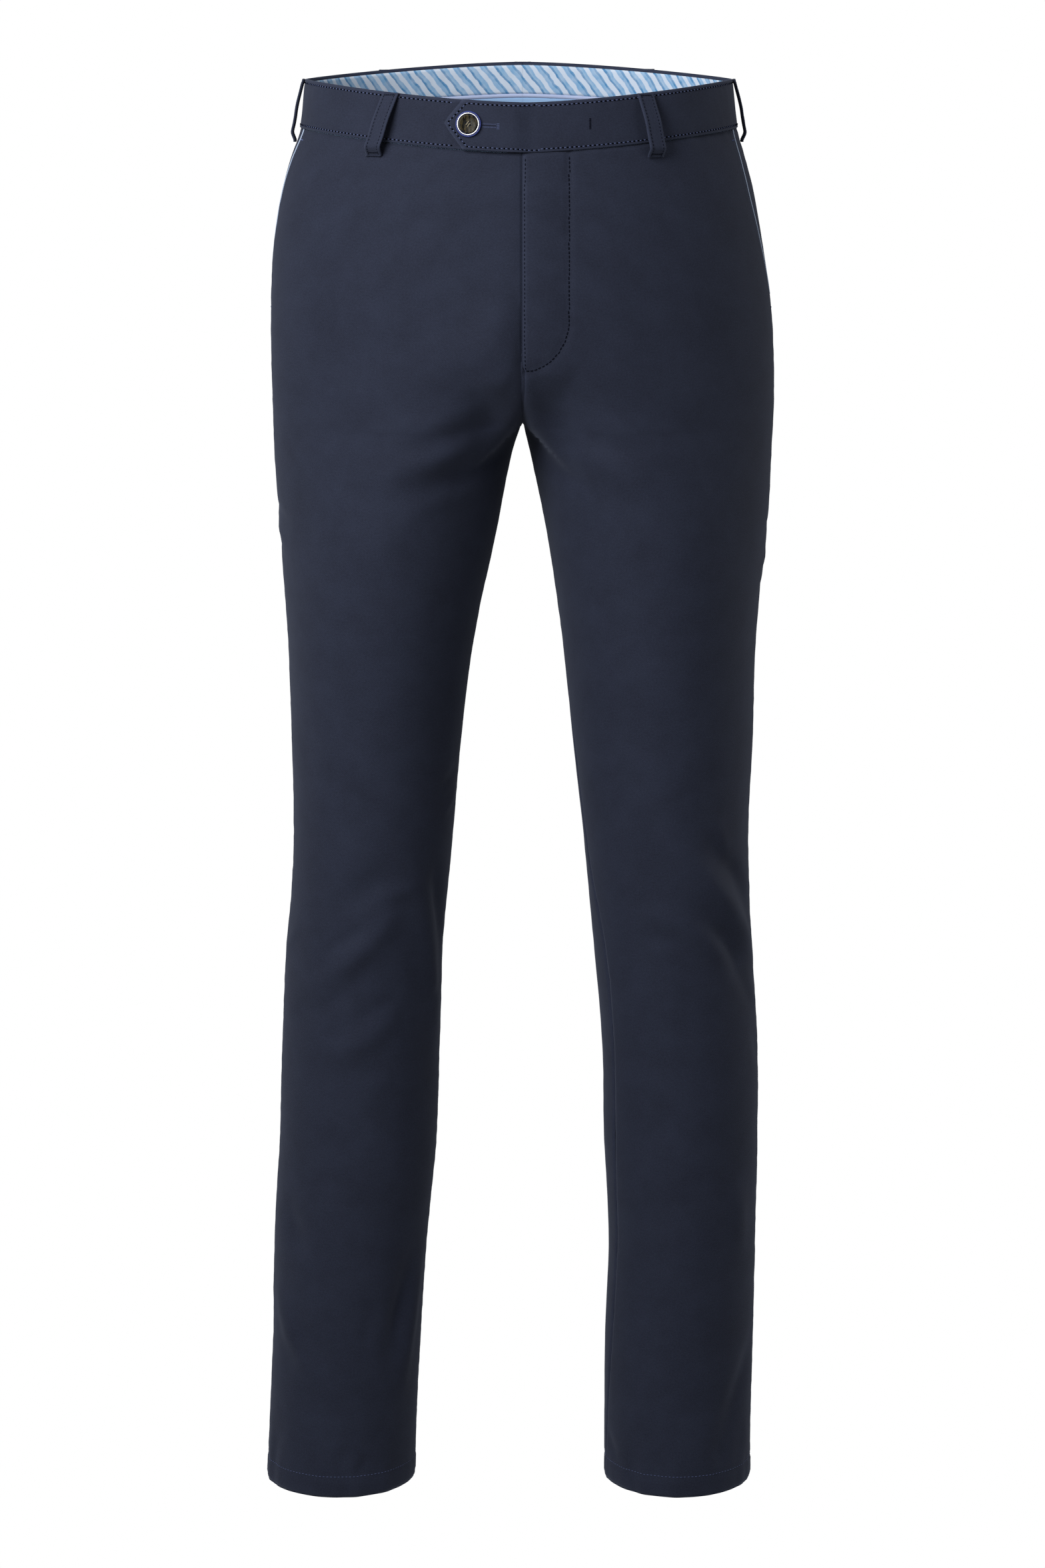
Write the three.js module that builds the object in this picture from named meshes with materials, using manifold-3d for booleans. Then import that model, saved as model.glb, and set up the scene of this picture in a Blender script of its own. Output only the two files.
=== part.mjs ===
// Chino trousers, filled out as if worn, hollow, open at the waist and at both hems. Millimetres, +Z up.
// The origin is the middle of the waist opening, level with the band's top edge at the sides.
// The front faces -Y, so the wearer's left side is +X.
//
// The cloth's outer surface is a stack of closed sections. A place on it is (side, girth, level).
// side is -1 for the wearer's right and 1 for the left. girth is an angle round that half of the hips
// or round that leg: 0 at the side seam, 90 at the middle of the front, 180 at the centre seam or the
// inseam, negative round the back. level is the height in Z.
// Every piece is a wall made from such places, moved in or out.
import * as THREE from "three";
import { mergeVertices } from "three/addons/utils/BufferGeometryUtils.js";
import Module from "manifold-3d";

// Driving dimensions.
const CLOTH = 1.4; // one layer of the outer cloth
const THIN = 1.1; // lining, facing, tape
const GAP = 0.3; // clear space between neighbouring pieces
const BAND_HEIGHT = 36;
const BAND_THICK = 2.6;
const BAND_PROUD = 0.9; // how far the band's outer side stands out of the panels
const FRONT_DROP = 15; // the band dips this much at the centre front
const BACK_RISE = 11; // and rises this much at the centre back
const WAIST_FADE = 110; // the dip and the rise are gone this far down
const CROTCH = -257;
const CROTCH_CURVE_TOP = -185; // the centre seam turns in under the body from here
const CROTCH_CURVE_POWER = 2.6;
const CROTCH_FULLNESS = 0.04; // how softly noFurrow passes from the cloth's own height to the centre seam's
const LEG_LAG = 200; // the outer thighs become round this much lower than the centre seam
const PINCH_END = -340; // the inner thighs are round again from here
const PINCH_POWER = 1.25; // how much slimmer than an oval the inner thigh is at the crotch, 1 for not at all
const WEDGE_STRETCH = 1.5; // the wall is this much thicker along the wedge between them
const ROUND_SHARE = 0.8; // the crotch curve holds from this share of the way to the centre seam
const SWING_POWER = 1.5; // how the waist's dip and rise grow towards the centre
const HEM = -1096;
const HEM_DEPTH = 17;
const HEM_CLEAR = 0.9; // the turned cloth lies this far inside the panels

// Where the side seams run: distance from the centre plane.
const OUTSEAM = [
  { level: 12, right: 160, left: 155 },
  { level: 0, right: 162, left: 156.5 },
  { level: -36, right: 166.5, left: 161 },
  { level: -60, right: 175, left: 168 },
  { level: -80, right: 180.5, left: 173.5 },
  { level: -120, right: 187, left: 181 },
  { level: -160, right: 190, left: 187 },
  { level: -220, right: 190.5, left: 191 },
  { level: -280, right: 189, left: 190 },
  { level: -340, right: 185.5, left: 187 },
  { level: -420, right: 180.5, left: 179.5 },
  { level: -500, right: 178, left: 177.5 },
  { level: -580, right: 177, left: 174.5 },
  { level: -620, right: 179, left: 176 },
  { level: -660, right: 183, left: 178 },
  { level: -740, right: 187.5, left: 183.5 },
  { level: -820, right: 190.5, left: 184.5 },
  { level: -900, right: 195.5, left: 183.5 },
  { level: -980, right: 197.5, left: 182.5 },
  { level: -1060, right: 201.5, left: 181 },
  { level: HEM, right: 203.5, left: 181 },
];

// Where the innermost line of each leg runs. turn is how many degrees of girth the left leg's inseam is
// twisted to the front.
const INSEAM = [
  { level: CROTCH, right: 0.15, left: 0.15, turn: 0 },
  { level: -280, right: 7.5, left: 5.5, turn: 0 },
  { level: -340, right: 19.5, left: 18, turn: 0 },
  { level: -420, right: 36.5, left: 30, turn: 3 },
  { level: -500, right: 47, left: 38.5, turn: 9 },
  { level: -580, right: 54, left: 47.5, turn: 14 },
  { level: -660, right: 61.5, left: 55, turn: 30 },
  { level: -740, right: 64.5, left: 62, turn: 30 },
  { level: -820, right: 67.5, left: 64, turn: 29 },
  { level: -900, right: 75, left: 68, turn: 25 },
  { level: -980, right: 80.5, left: 65.5, turn: 22 },
  { level: -1060, right: 84.5, left: 65, turn: 13 },
  { level: HEM, right: 85.5, left: 65, turn: 10 },
];

// The profile from the side: the seams' plane, and the foremost and rearmost lines.
const PROFILE = [
  { level: 12, seam: 0, front: -110, back: 110 },
  { level: -36, seam: 0, front: -115, back: 118 },
  { level: -80, seam: 0, front: -119, back: 128 },
  { level: -120, seam: 0, front: -121, back: 135 },
  { level: -160, seam: 0, front: -121, back: 138 },
  { level: -200, seam: 1, front: -118, back: 136 },
  { level: -257, seam: 5, front: -110, back: 125 },
  { level: -300, seam: 6, front: -104, back: 115 },
  { level: -400, seam: 6, front: -92, back: 98 },
  { level: -500, seam: 4, front: -82, back: 82 },
  { level: -620, seam: 0, front: -74, back: 68 },
  { level: -740, seam: 2, front: -67, back: 69 },
  { level: -860, seam: 6, front: -61, back: 73 },
  { level: -980, seam: 9, front: -56, back: 73 },
  { level: HEM, seam: 9, front: -53, back: 70 },
];

const FOLD_END = 162; // girth where the folds begin to fade
const FOLD_TAPER = 1.2; // how pointed a fold's ends are
const GIRTH_FACTOR = 1.75; // half of a section's girth over its width

// The largest folds. Each runs from (girth, level) to (toGirth, toLevel), swings out sideways by bow and
// fades to nothing at its ends. It is a trough where lift is negative. reach is its half-width.
const FOLDS = [
  // Drag lines from the crotch over the fronts.
  { side: -1, girth: 158, level: -229, toGirth: 84, toLevel: -262, bow: 3, reach: 12, lift: -4.2 },
  { side: -1, girth: 150, level: -247, toGirth: 92, toLevel: -272, bow: 2, reach: 9, lift: 2.6 },
  { side: -1, girth: 152, level: -262, toGirth: 86, toLevel: -288, bow: 4, reach: 11, lift: -3.4 },
  { side: -1, girth: 163, level: -183, toGirth: 80, toLevel: -218, bow: 5, reach: 22, lift: -3.2 },
  { side: 1, girth: 150, level: -205, toGirth: 92, toLevel: -226, bow: 3, reach: 17, lift: -2.4 },
  { side: 1, girth: 146, level: -258, toGirth: 86, toLevel: -276, bow: 3, reach: 9, lift: 2.2 },
  { side: 1, girth: 152, level: -266, toGirth: 88, toLevel: -290, bow: 3, reach: 11, lift: -3.2 },
  // The knees.
  { side: -1, girth: 112, level: -592, toGirth: 66, toLevel: -622, bow: 2, reach: 13, lift: 3.4 },
  { side: -1, girth: 116, level: -618, toGirth: 40, toLevel: -702, bow: -6, reach: 11, lift: -4.2 },
  { side: -1, girth: 100, level: -652, toGirth: 30, toLevel: -716, bow: -5, reach: 12, lift: 3 },
  { side: -1, girth: 122, level: -702, toGirth: 62, toLevel: -742, bow: -3, reach: 11, lift: -3 },
  { side: -1, girth: 108, level: -560, toGirth: 164, toLevel: -752, bow: -8, reach: 12, lift: -3.6 },
  { side: -1, girth: 138, level: -584, toGirth: 172, toLevel: -668, bow: 0, reach: 9, lift: 3 },
  { side: 1, girth: 100, level: -560, toGirth: 6, toLevel: -684, bow: 6, reach: 10, lift: -4 },
  { side: 1, girth: 72, level: -560, toGirth: 4, toLevel: -652, bow: 5, reach: 10, lift: 3.2 },
  { side: 1, girth: 112, level: -618, toGirth: 38, toLevel: -672, bow: 4, reach: 10, lift: -3.2 },
  { side: 1, girth: 80, level: -616, toGirth: 14, toLevel: -712, bow: 5, reach: 11, lift: 3.2 },
  // The lower legs.
  { side: -1, girth: 146, level: -890, toGirth: 128, toLevel: -1006, bow: 3, reach: 11, lift: 2.6 },
  { side: -1, girth: 160, level: -896, toGirth: 140, toLevel: -1030, bow: 2, reach: 10, lift: -2.8 },
  { side: -1, girth: 22, level: -926, toGirth: 76, toLevel: -1004, bow: 6, reach: 11, lift: -2.4 },
  { side: -1, girth: 30, level: -856, toGirth: 60, toLevel: -904, bow: 2, reach: 12, lift: 2.2 },
  { side: 1, girth: 12, level: -966, toGirth: 62, toLevel: -1074, bow: -4, reach: 11, lift: 2.4 },
  { side: 1, girth: 46, level: -836, toGirth: 42, toLevel: -906, bow: 0, reach: 12, lift: -2.2 },
  // Under the seat and behind the knees, on the side that nobody in front sees.
  { side: -1, girth: -160, level: -250, toGirth: -64, toLevel: -300, bow: -5, reach: 14, lift: -4 },
  { side: -1, girth: -150, level: -286, toGirth: -82, toLevel: -326, bow: -4, reach: 13, lift: 3 },
  { side: 1, girth: -158, level: -246, toGirth: -70, toLevel: -292, bow: -4, reach: 14, lift: -3.8 },
  { side: 1, girth: -146, level: -290, toGirth: -76, toLevel: -322, bow: -5, reach: 12, lift: 2.8 },
  { side: -1, girth: -138, level: -600, toGirth: -46, toLevel: -634, bow: 5, reach: 11, lift: -4.4 },
  { side: -1, girth: -146, level: -640, toGirth: -52, toLevel: -652, bow: 4, reach: 10, lift: 3.2 },
  { side: -1, girth: -128, level: -676, toGirth: -58, toLevel: -668, bow: -3, reach: 11, lift: -3.4 },
  { side: 1, girth: -140, level: -590, toGirth: -50, toLevel: -622, bow: 5, reach: 11, lift: -4 },
  { side: 1, girth: -136, level: -634, toGirth: -42, toLevel: -640, bow: 4, reach: 10, lift: 3 },
  { side: 1, girth: -130, level: -662, toGirth: -60, toLevel: -680, bow: -3, reach: 11, lift: -3.2 },
  { side: -1, girth: -70, level: -880, toGirth: -116, toLevel: -990, bow: 4, reach: 13, lift: -2.6 },
  { side: 1, girth: -112, level: -900, toGirth: -72, toLevel: -1010, bow: 4, reach: 13, lift: -2.4 },
];

// The slant pockets' mouths, which are the front panels' side edges there.
// right and left are how far they lie ahead of the side seam.
const POCKET_MOUTH = [
  { level: -36, right: 25, left: 27.5 },
  { level: -60, right: 19, left: 29 },
  { level: -85, right: 13, left: 30 },
  { level: -110, right: 8, left: 24 },
  { level: -135, right: 4, left: 17 },
  { level: -165, right: 0, left: 8 },
  { level: -178, right: 0, left: 0 },
];
const POCKET_END = -178;
const FACING_BEHIND = 0.9; // degrees that the pocket facing reaches behind the side seam
const EDGING_WIDTH = 1.5;
const EDGING_THICK = 1;
const EDGING_ROOM = 3.2; // the edging stops where the mouth is this close to the side seam

// The fly's facing, cut to the J of its stitching.
const FLY = {
  edge: 0.6,
  width: 34,
  straightLevels: [-60, -90, -120, -148],
  straightEnd: -172,
  curveShares: [0.3, 0.55, 0.75, 0.9, 0.98],
  end: -208,
  clear: 1.2,
};
const ZIP = { levels: [-56, -90, -125, -160, -196], half: 12, middle: 0.5, toothHalf: 3, toothRise: 1.1 };
const SLIDER = { width: 8, height: 13, thick: 2.4, level: -64 };

// The left band's pointed end. It rises by lift from lapStart to lie over the right band, which stops
// at lapEnd.
// columns are the x of its columns beyond the half's own, and pointFrom is where its point begins.
const TAB = {
  corner: 43,
  tip: 57,
  lapEnd: -6,
  lapStart: 9,
  lift: BAND_THICK + GAP,
  columns: [5, 1.5, -2, -6, -14, -23, -33, -43],
  pointFrom: 33,
  endSlack: 0.4,
};
const LINING = { below: 2.2, height: 22, frontRight: 12, frontLeft: 38 }; // front: x of its ends
const PIPING = { height: 2.2, thick: 1.9 };
const CURTAIN = { height: 26, clear: 2.6 }; // it hangs clear of the panels

// A belt loop's strip. It begins to leave the band at riseFrom, is furthest out at riseTo and is back on the
// cloth at its end, as shares of its length.
const LOOP = {
  width: 13,
  thick: 1.8,
  steps: 11,
  top: -0.6,
  bottom: -47,
  riseFrom: -0.1,
  riseTo: 0.55,
  fallFrom: 0.86,
  stepDownFrom: 0.8,
};
// Where the belt loops are sewn, girth at the top and toGirth at the bottom. stand is how far they stand
// off for the belt.
const LOOPS = [
  { name: "loop_front_right", side: -1, girth: 80, toGirth: 74, stand: 6.4 },
  { name: "loop_front_left", side: 1, girth: 82.5, toGirth: 79.5, stand: 6.4 },
  { name: "loop_side_right", side: -1, girth: -2, toGirth: -2, stand: 3.6 },
  { name: "loop_side_left", side: 1, girth: -2, toGirth: -2, stand: 3.6 },
  { name: "loop_back_right", side: -1, girth: -74, toGirth: -74, stand: 6.4 },
  { name: "loop_back_left", side: 1, girth: -78, toGirth: -78, stand: 6.4 },
  { name: "loop_back_centre", side: 1, girth: -180, toGirth: -180, stand: 5.2 },
];

const WELT = { from: 44, to: 152, top: -88, height: 9, thick: 1.2, columns: 9 };

const BUTTON = { x: -38.5, level: -17.6, radius: 9.4, ringOuter: 8.3, ringInner: 7.2, step: 1.3, thick: 2.8 };
const BUTTON_STEPS = 28;
const BUTTON_HOLE = { radius: 0.9, spacing: 2.1 };

// Steps of the walls.
const PANEL_COLUMNS = 13;
const HEM_COLUMNS = 28;
const BAND_STEP = 12; // degrees
const PANEL_LEVELS = [
  -47, -64, -84, -108, -134, -162, -182, -199, -214, -227, -238, -247, -253.5, CROTCH,
  -263, -274, -290, -312, -345, -390, -440, -492, -538, -570, -594, -618, -642, -668, -696,
  -728, -768, -818, -866, -906, -948, -990, -1032, -1070, HEM,
];

const MATERIALS = {
  cloth: { color: 0x2e3448, roughness: 0.82, metalness: 0 },
  stripe: { color: 0xb4cbe4, roughness: 0.8, metalness: 0 },
  piping: { color: 0xa9b4dc, roughness: 0.7, metalness: 0 },
  curtain: { color: 0x8fb2dc, roughness: 0.8, metalness: 0 },
  edging: { color: 0x8ea6c6, roughness: 0.8, metalness: 0 },
  horn: { color: 0x4a4534, roughness: 0.35, metalness: 0 },
  rim: { color: 0x2b3260, roughness: 0.4, metalness: 0 },
  metal: { color: 0xd5d6da, roughness: 0.22, metalness: 1 },
};

const { clamp, degToRad, radToDeg, lerp, smoothstep } = THREE.MathUtils;
const wasm = await Module();
wasm.setup();

// A smooth function of the level through one column of a table.
function track(rows, column) {
  const levels = rows.map((row) => -row.level);
  const values = rows.map((row) => row[column]);
  const curve = new THREE.CubicInterpolant(levels, values, 1);
  return (level) => curve.evaluate(clamp(-level, levels[0], levels.at(-1)))[0];
}

const outseam = { [-1]: track(OUTSEAM, "right"), 1: track(OUTSEAM, "left") };
const inseam = { [-1]: track(INSEAM, "right"), 1: track(INSEAM, "left") };
const inseamTurn = track(INSEAM, "turn");
const seamPlane = track(PROFILE, "seam");
const frontLine = track(PROFILE, "front");
const backLine = track(PROFILE, "back");
const mouthAhead = { [-1]: track(POCKET_MOUTH, "right"), 1: track(POCKET_MOUTH, "left") };

// How far the section here has turned from one hip oval into two legs, 0 to 1.
// across runs from the side seam, 0, to the centre seam, 1, where this is the crotch curve.
// Further out the change is softer and ends lower.
function legShare(across, level) {
  const end = CROTCH - LEG_LAG * (1 - across);
  const t = clamp((CROTCH_CURVE_TOP - level) / (CROTCH_CURVE_TOP - end), 0, 1);
  const curve = 1 - (1 - t ** CROTCH_CURVE_POWER) ** (1 / CROTCH_CURVE_POWER);
  return lerp(smoothstep(t, 0, 1), curve, smoothstep(across, ROUND_SHARE, 1));
}

// Keeps the cloth beside the centre seam from sinking below the seam's own share of the height.
function noFurrow(height, hips, seamHeight) {
  const least = hips * seamHeight;
  const soft = CROTCH_FULLNESS * 4 * seamHeight * (1 - seamHeight);
  return (height + least + Math.hypot(height - least, soft)) / 2;
}

// The smooth form before its folds.
function bareSkin(side, girth, level) {
  const angle = degToRad(girth);
  const across = (1 - Math.cos(angle)) / 2;
  const outer = outseam[side](level);
  const inner = level > CROTCH ? GAP / 2 : inseam[side](level);
  const hips = Math.sqrt(1 - (1 - across) ** 2);
  const round = Math.abs(Math.sin(angle));
  const pinch = across > 0.5 ? clamp((level - PINCH_END) / (CROTCH - PINCH_END), 0, 1) : 0;
  const leg = lerp(round, round ** PINCH_POWER, pinch);
  const plain = lerp(hips, leg, legShare(across, level));
  const height = across > 0.5 && level > CROTCH ? noFurrow(plain, hips, 1 - legShare(1, level)) : plain;
  const seam = seamPlane(level);
  const far = Math.sin(angle) >= 0 ? frontLine(level) : backLine(level);
  const waist = 1 - smoothstep(-level, BAND_HEIGHT, WAIST_FADE);
  const middle = 1 - (1 - across) ** SWING_POWER;
  const swing = (Math.sin(angle) >= 0 ? -FRONT_DROP : BACK_RISE) * middle * waist;
  return new THREE.Vector3(side * lerp(outer, inner, across), lerp(seam, far, height), level + swing);
}

// How far the folds push the cloth out here. They fade before the centre seam and the inseam.
function relief(side, girth, level) {
  const seamFade = 1 - smoothstep(Math.abs(girth), FOLD_END, 180);
  const halfGirth = GIRTH_FACTOR * (outseam[side](level) - (level > CROTCH ? 0 : inseam[side](level)));
  const perDegree = halfGirth / 180;
  let sum = 0;
  for (const fold of FOLDS) {
    if (fold.side !== side) continue;
    const along = new THREE.Vector2((fold.toGirth - fold.girth) * perDegree, fold.toLevel - fold.level);
    const length = along.length();
    along.divideScalar(length);
    const away = new THREE.Vector2((girth - fold.girth) * perDegree, level - fold.level);
    const t = clamp(away.dot(along) / length, 0, 1);
    const off = away.cross(along) - fold.bow * 4 * t * (1 - t);
    sum += fold.lift * Math.sin(Math.PI * t) ** FOLD_TAPER * Math.exp(-((off / fold.reach) ** 2));
  }
  return sum * seamFade;
}

const FINE = 0.2; // small steps for the surface's directions: degrees, and millimetres of height

// The unit direction out of the form, level with the ground.
function levelNormal(side, girth, level) {
  const ahead = girth >= 180 - FINE ? girth : girth + FINE;
  const behind = girth <= -180 + FINE || girth === ahead ? girth - FINE : girth;
  const along = bareSkin(side, ahead, level).sub(bareSkin(side, behind, level));
  return new THREE.Vector3(-along.y, along.x, 0).multiplyScalar(-side).normalize();
}

function skin(side, girth, level) {
  const push = relief(side, girth, level);
  return bareSkin(side, girth, level).addScaledVector(levelNormal(side, girth, level), push);
}

// The cloth's outer surface at a place, moved out by out millimetres along the surface's own normal.
function spot(side, girth, level, out = 0) {
  const backward = girth > 0 ? -FINE : FINE; // towards the side seam, so that it never crosses a centre seam
  const across = skin(side, girth + backward, level).sub(skin(side, girth, level));
  const up = skin(side, girth, level + FINE).sub(skin(side, girth, level - FINE));
  const normal = across.cross(up).normalize().multiplyScalar(girth > 0 ? side : -side);
  return skin(side, girth, level).addScaledVector(normal, out);
}

// The girth at which the front or back lies x millimetres from the centre plane. face is 1 for the front.
function girthAt(side, face, x, level) {
  const outer = outseam[side](level);
  const inner = level > CROTCH ? GAP / 2 : inseam[side](level);
  const across = clamp((outer - Math.abs(x)) / (outer - inner), 0, 1);
  return face * radToDeg(Math.acos(1 - 2 * across));
}

// The girth that lies some millimetres round the front or back from the side seam at hip height.
function girthAhead(side, distance, level) {
  const depth = seamPlane(level) - frontLine(level);
  return radToDeg((Math.SQRT2 * distance) / depth);
}

// A closed wall between two grids of points with the same rows and columns, over outside and under inside.
// A loop wall goes all the way round, with its last column next to its first.
function wall(over, under, { loop = false } = {}) {
  const rows = over.length;
  const columns = over[0].length;
  const points = [...over.flat(), ...under.flat()];
  const top = (i, j) => i * columns + (j % columns);
  const low = (i, j) => rows * columns + top(i, j);
  const index = [];
  const quad = (a, b, c, d) => index.push(a, b, c, a, c, d);
  const spans = loop ? columns : columns - 1;
  for (let i = 0; i < rows - 1; i++)
    for (let j = 0; j < spans; j++) {
      quad(top(i, j), top(i, j + 1), top(i + 1, j + 1), top(i + 1, j));
      quad(low(i, j), low(i + 1, j), low(i + 1, j + 1), low(i, j + 1));
    }
  for (let j = 0; j < spans; j++) {
    quad(top(0, j), low(0, j), low(0, j + 1), top(0, j + 1));
    quad(top(rows - 1, j), top(rows - 1, j + 1), low(rows - 1, j + 1), low(rows - 1, j));
  }
  for (let i = 0; i < rows - 1 && !loop; i++) {
    quad(top(i, 0), top(i + 1, 0), low(i + 1, 0), low(i, 0));
    quad(top(i, columns - 1), low(i, columns - 1), low(i + 1, columns - 1), top(i + 1, columns - 1));
  }
  return facingOut(points, index);
}

// The mesh of these points and triangles, turned so that its faces point out.
function facingOut(points, index) {
  let volume = 0;
  for (let k = 0; k < index.length; k += 3)
    volume += points[index[k]].dot(points[index[k + 1]].clone().cross(points[index[k + 2]]));
  if (volume < 0) index.reverse();
  return new THREE.BufferGeometry().setFromPoints(points).setIndex(index);
}

// A wall over a grid of places. place(row, column) gives [side, girth, level].
// outer and inner say how far its two sides lie from the cloth's outer surface.
// find turns a place and that distance into a point.
function clothWall(rows, columns, place, outer, inner, { find = spot, loop = false } = {}) {
  const grid = (out) => {
    const outAt = typeof out === "function" ? out : () => out;
    const row = (i) => Array.from({ length: columns }, (_, j) => find(...place(i, j), outAt(i, j)));
    return Array.from({ length: rows }, (_, i) => row(i));
  };
  return wall(grid(outer), grid(inner), { loop });
}

const root = new THREE.Group();

function add(name, geometry, material) {
  const mesh = new THREE.Mesh(geometry, new THREE.MeshStandardMaterial(MATERIALS[material]));
  mesh.name = name;
  root.add(mesh);
  return mesh;
}

const WORD = { [-1]: "right", 1: "left" };
const SIDES = [-1, 1];
const SEAM_DEPTH = 0.35; // a seam's own radius over the depth of the section
// Half of the gap at a seam, as girth.
const seamShift = (level) => radToDeg(GAP / 2 / (SEAM_DEPTH * (backLine(level) - frontLine(level))));

// Front and back panels, each from the band's seam to the hem.
function frontGirth(side, level, share) {
  const edge = level > POCKET_END ? girthAhead(side, mouthAhead[side](level), level) : 0;
  const end = side === 1 && level < PINCH_END ? 180 - inseamTurn(level) : 180;
  const endGap = level < PINCH_END ? seamShift(level) : 0;
  return lerp(edge + seamShift(level), end - endGap, share);
}

function backGirth(side, level, share) {
  const end = side === 1 && level < PINCH_END ? 180 + inseamTurn(level) : 180;
  const endGap = level < PINCH_END ? seamShift(level) : 0;
  return -lerp(seamShift(level), end - endGap, share);
}

// A point of a panel. Where front and back meet in a wedge under the crotch, the seam's edge goes straight in.
function panelSpot(side, girth, level, out) {
  const inWedge = level <= CROTCH && level >= PINCH_END && Math.abs(girth) === 180;
  if (!inWedge) return spot(side, girth, level, out);
  const edge = skin(side, girth, level);
  edge.y -= Math.sign(girth) * (GAP / 2);
  edge.x -= side * out * WEDGE_STRETCH;
  if (level === CROTCH) edge.z -= out;
  return edge;
}

const panelTop = -BAND_HEIGHT - GAP;
const panelLevels = [panelTop, ...PANEL_LEVELS];

for (const side of SIDES) {
  for (const [name, girthOf] of [["front", frontGirth], ["back", backGirth]]) {
    const place = (i, j) => [side, girthOf(side, panelLevels[i], j / PANEL_COLUMNS), panelLevels[i]];
    const geometry = clothWall(panelLevels.length, PANEL_COLUMNS + 1, place, 0, -CLOTH, { find: panelSpot });
    add(`${name}_${WORD[side]}`, geometry, "cloth");
  }
}

// The cloth turned up inside each hem.
for (const side of SIDES) {
  const levels = [HEM + HEM_DEPTH, HEM];
  const place = (i, j) => [side, (360 * j) / HEM_COLUMNS - 180, levels[i]];
  const outer = -CLOTH - HEM_CLEAR;
  const geometry = clothWall(levels.length, HEM_COLUMNS, place, outer, outer - THIN, { loop: true });
  add(`hem_${WORD[side]}`, geometry, "cloth");
}

// Columns along one half of the waist, from the centre back round the side seam to frontEnd.
// Every layer shares them.
function waistColumns(frontEnd) {
  const count = Math.ceil((frontEnd + 180) / BAND_STEP - 0.3);
  return [...Array.from({ length: count }, (_, j) => BAND_STEP * j - 180), frontEnd];
}

// The waistband. The left half goes on past the centre front as the pointed tab, lying over the right half.
const bandLevels = [0, -BAND_HEIGHT / 4, -BAND_HEIGHT / 2, (-BAND_HEIGHT * 3) / 4, -BAND_HEIGHT];

function rightBand() {
  const end = girthAt(-1, 1, TAB.lapEnd, 0);
  const columns = waistColumns(end);
  const place = (i, j) => [-1, columns[j], bandLevels[i]];
  return clothWall(bandLevels.length, columns.length, place, BAND_PROUD, BAND_PROUD - BAND_THICK);
}

function leftBand() {
  const start = girthAt(1, 1, TAB.lapStart, 0);
  const half = waistColumns(start).map((girth) => ({ side: 1, girth, x: null }));
  const lapped = TAB.columns.map((x) => ({ side: Math.sign(x), x }));
  const columns = [...half, ...lapped];
  const last = columns.length - 1;
  const xAt = (i, j) => {
    const point = 1 - Math.abs(i - 2) / 2; // 1 at the band's mid-height, where the tip is
    const stretch = smoothstep(-columns[j].x, TAB.pointFrom, TAB.corner);
    return columns[j].x - (TAB.tip - TAB.corner) * point * stretch;
  };
  const place = (i, j) => {
    const { side, girth, x } = columns[j];
    return [side, x === null ? girth : girthAt(side, 1, xAt(i, j), bandLevels[i]), bandLevels[i]];
  };
  const lift = (i, j) => {
    const { x } = columns[j];
    return x === null ? 0 : TAB.lift * smoothstep(-x, -TAB.lapStart, -TAB.lapEnd - 2);
  };
  const outer = (i, j) => BAND_PROUD + lift(i, j);
  const inner = (i, j) => BAND_PROUD - BAND_THICK + lift(i, j) + (j === last ? TAB.endSlack : 0);
  return clothWall(bandLevels.length, columns.length, place, outer, inner);
}

add("waistband_right", rightBand(), "cloth");
add("waistband_left", leftBand(), "cloth");

// Inside the band: the striped lining, the rolled piping under it, and the plain curtain that hangs below.
const insideBand = BAND_PROUD - BAND_THICK - GAP;
const liningFront = { [-1]: LINING.frontRight, 1: LINING.frontLeft };
const CENTRE_BACK_SHIFT = 0.2; // degrees, half of the gap there

function insideStrip(side, top, height, thick, clear = 0) {
  const columns = waistColumns(girthAt(side, 1, liningFront[side], 0));
  const start = columns[0] + CENTRE_BACK_SHIFT;
  const levels = [top, top - height];
  const place = (i, j) => [side, Math.max(columns[j], start), levels[i]];
  return clothWall(2, columns.length, place, insideBand - clear, insideBand - clear - thick);
}

for (const side of SIDES) {
  const pipingTop = -LINING.below - LINING.height - GAP;
  const curtainTop = pipingTop - PIPING.height - GAP;
  const lining = insideStrip(side, -LINING.below, LINING.height, THIN);
  const piping = insideStrip(side, pipingTop, PIPING.height, PIPING.thick);
  const curtain = insideStrip(side, curtainTop, CURTAIN.height, THIN, CURTAIN.clear);
  add(`band_lining_${WORD[side]}`, lining, "stripe");
  add(`band_piping_${WORD[side]}`, piping, "piping");
  add(`band_curtain_${WORD[side]}`, curtain, "curtain");
}

// A belt loop: a strip that leaves the band at its top edge, stands off for the belt and comes back below
// the seam.
function loop({ side, girth, toGirth, stand }) {
  const half = LOOP.width / 2;
  const seated = { top: BAND_PROUD + GAP, bottom: GAP };
  const rise = (t) => smoothstep(t, LOOP.riseFrom, LOOP.riseTo);
  const bulge = (t) => stand * rise(t) * (1 - smoothstep(t, LOOP.fallFrom, 1));
  const inner = (i) => {
    const t = i / LOOP.steps;
    return lerp(seated.top, seated.bottom, smoothstep(t, LOOP.stepDownFrom, 1)) + (i > 0 ? bulge(t) : 0);
  };
  const grid = (extra) =>
    Array.from({ length: LOOP.steps + 1 }, (_, i) => {
      const t = i / LOOP.steps;
      const level = lerp(LOOP.top, LOOP.bottom, t);
      const middle = spot(side, lerp(girth, toGirth, t), level, inner(i) + extra);
      const beyond = spot(side, lerp(girth, toGirth, t) + (girth < 0 ? 1 : -1), level, inner(i) + extra);
      const across = beyond.sub(middle).setZ(0).normalize();
      return [-half, half].map((shift) => middle.clone().addScaledVector(across, shift));
    });
  return wall(grid(LOOP.thick), grid(0));
}

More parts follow.
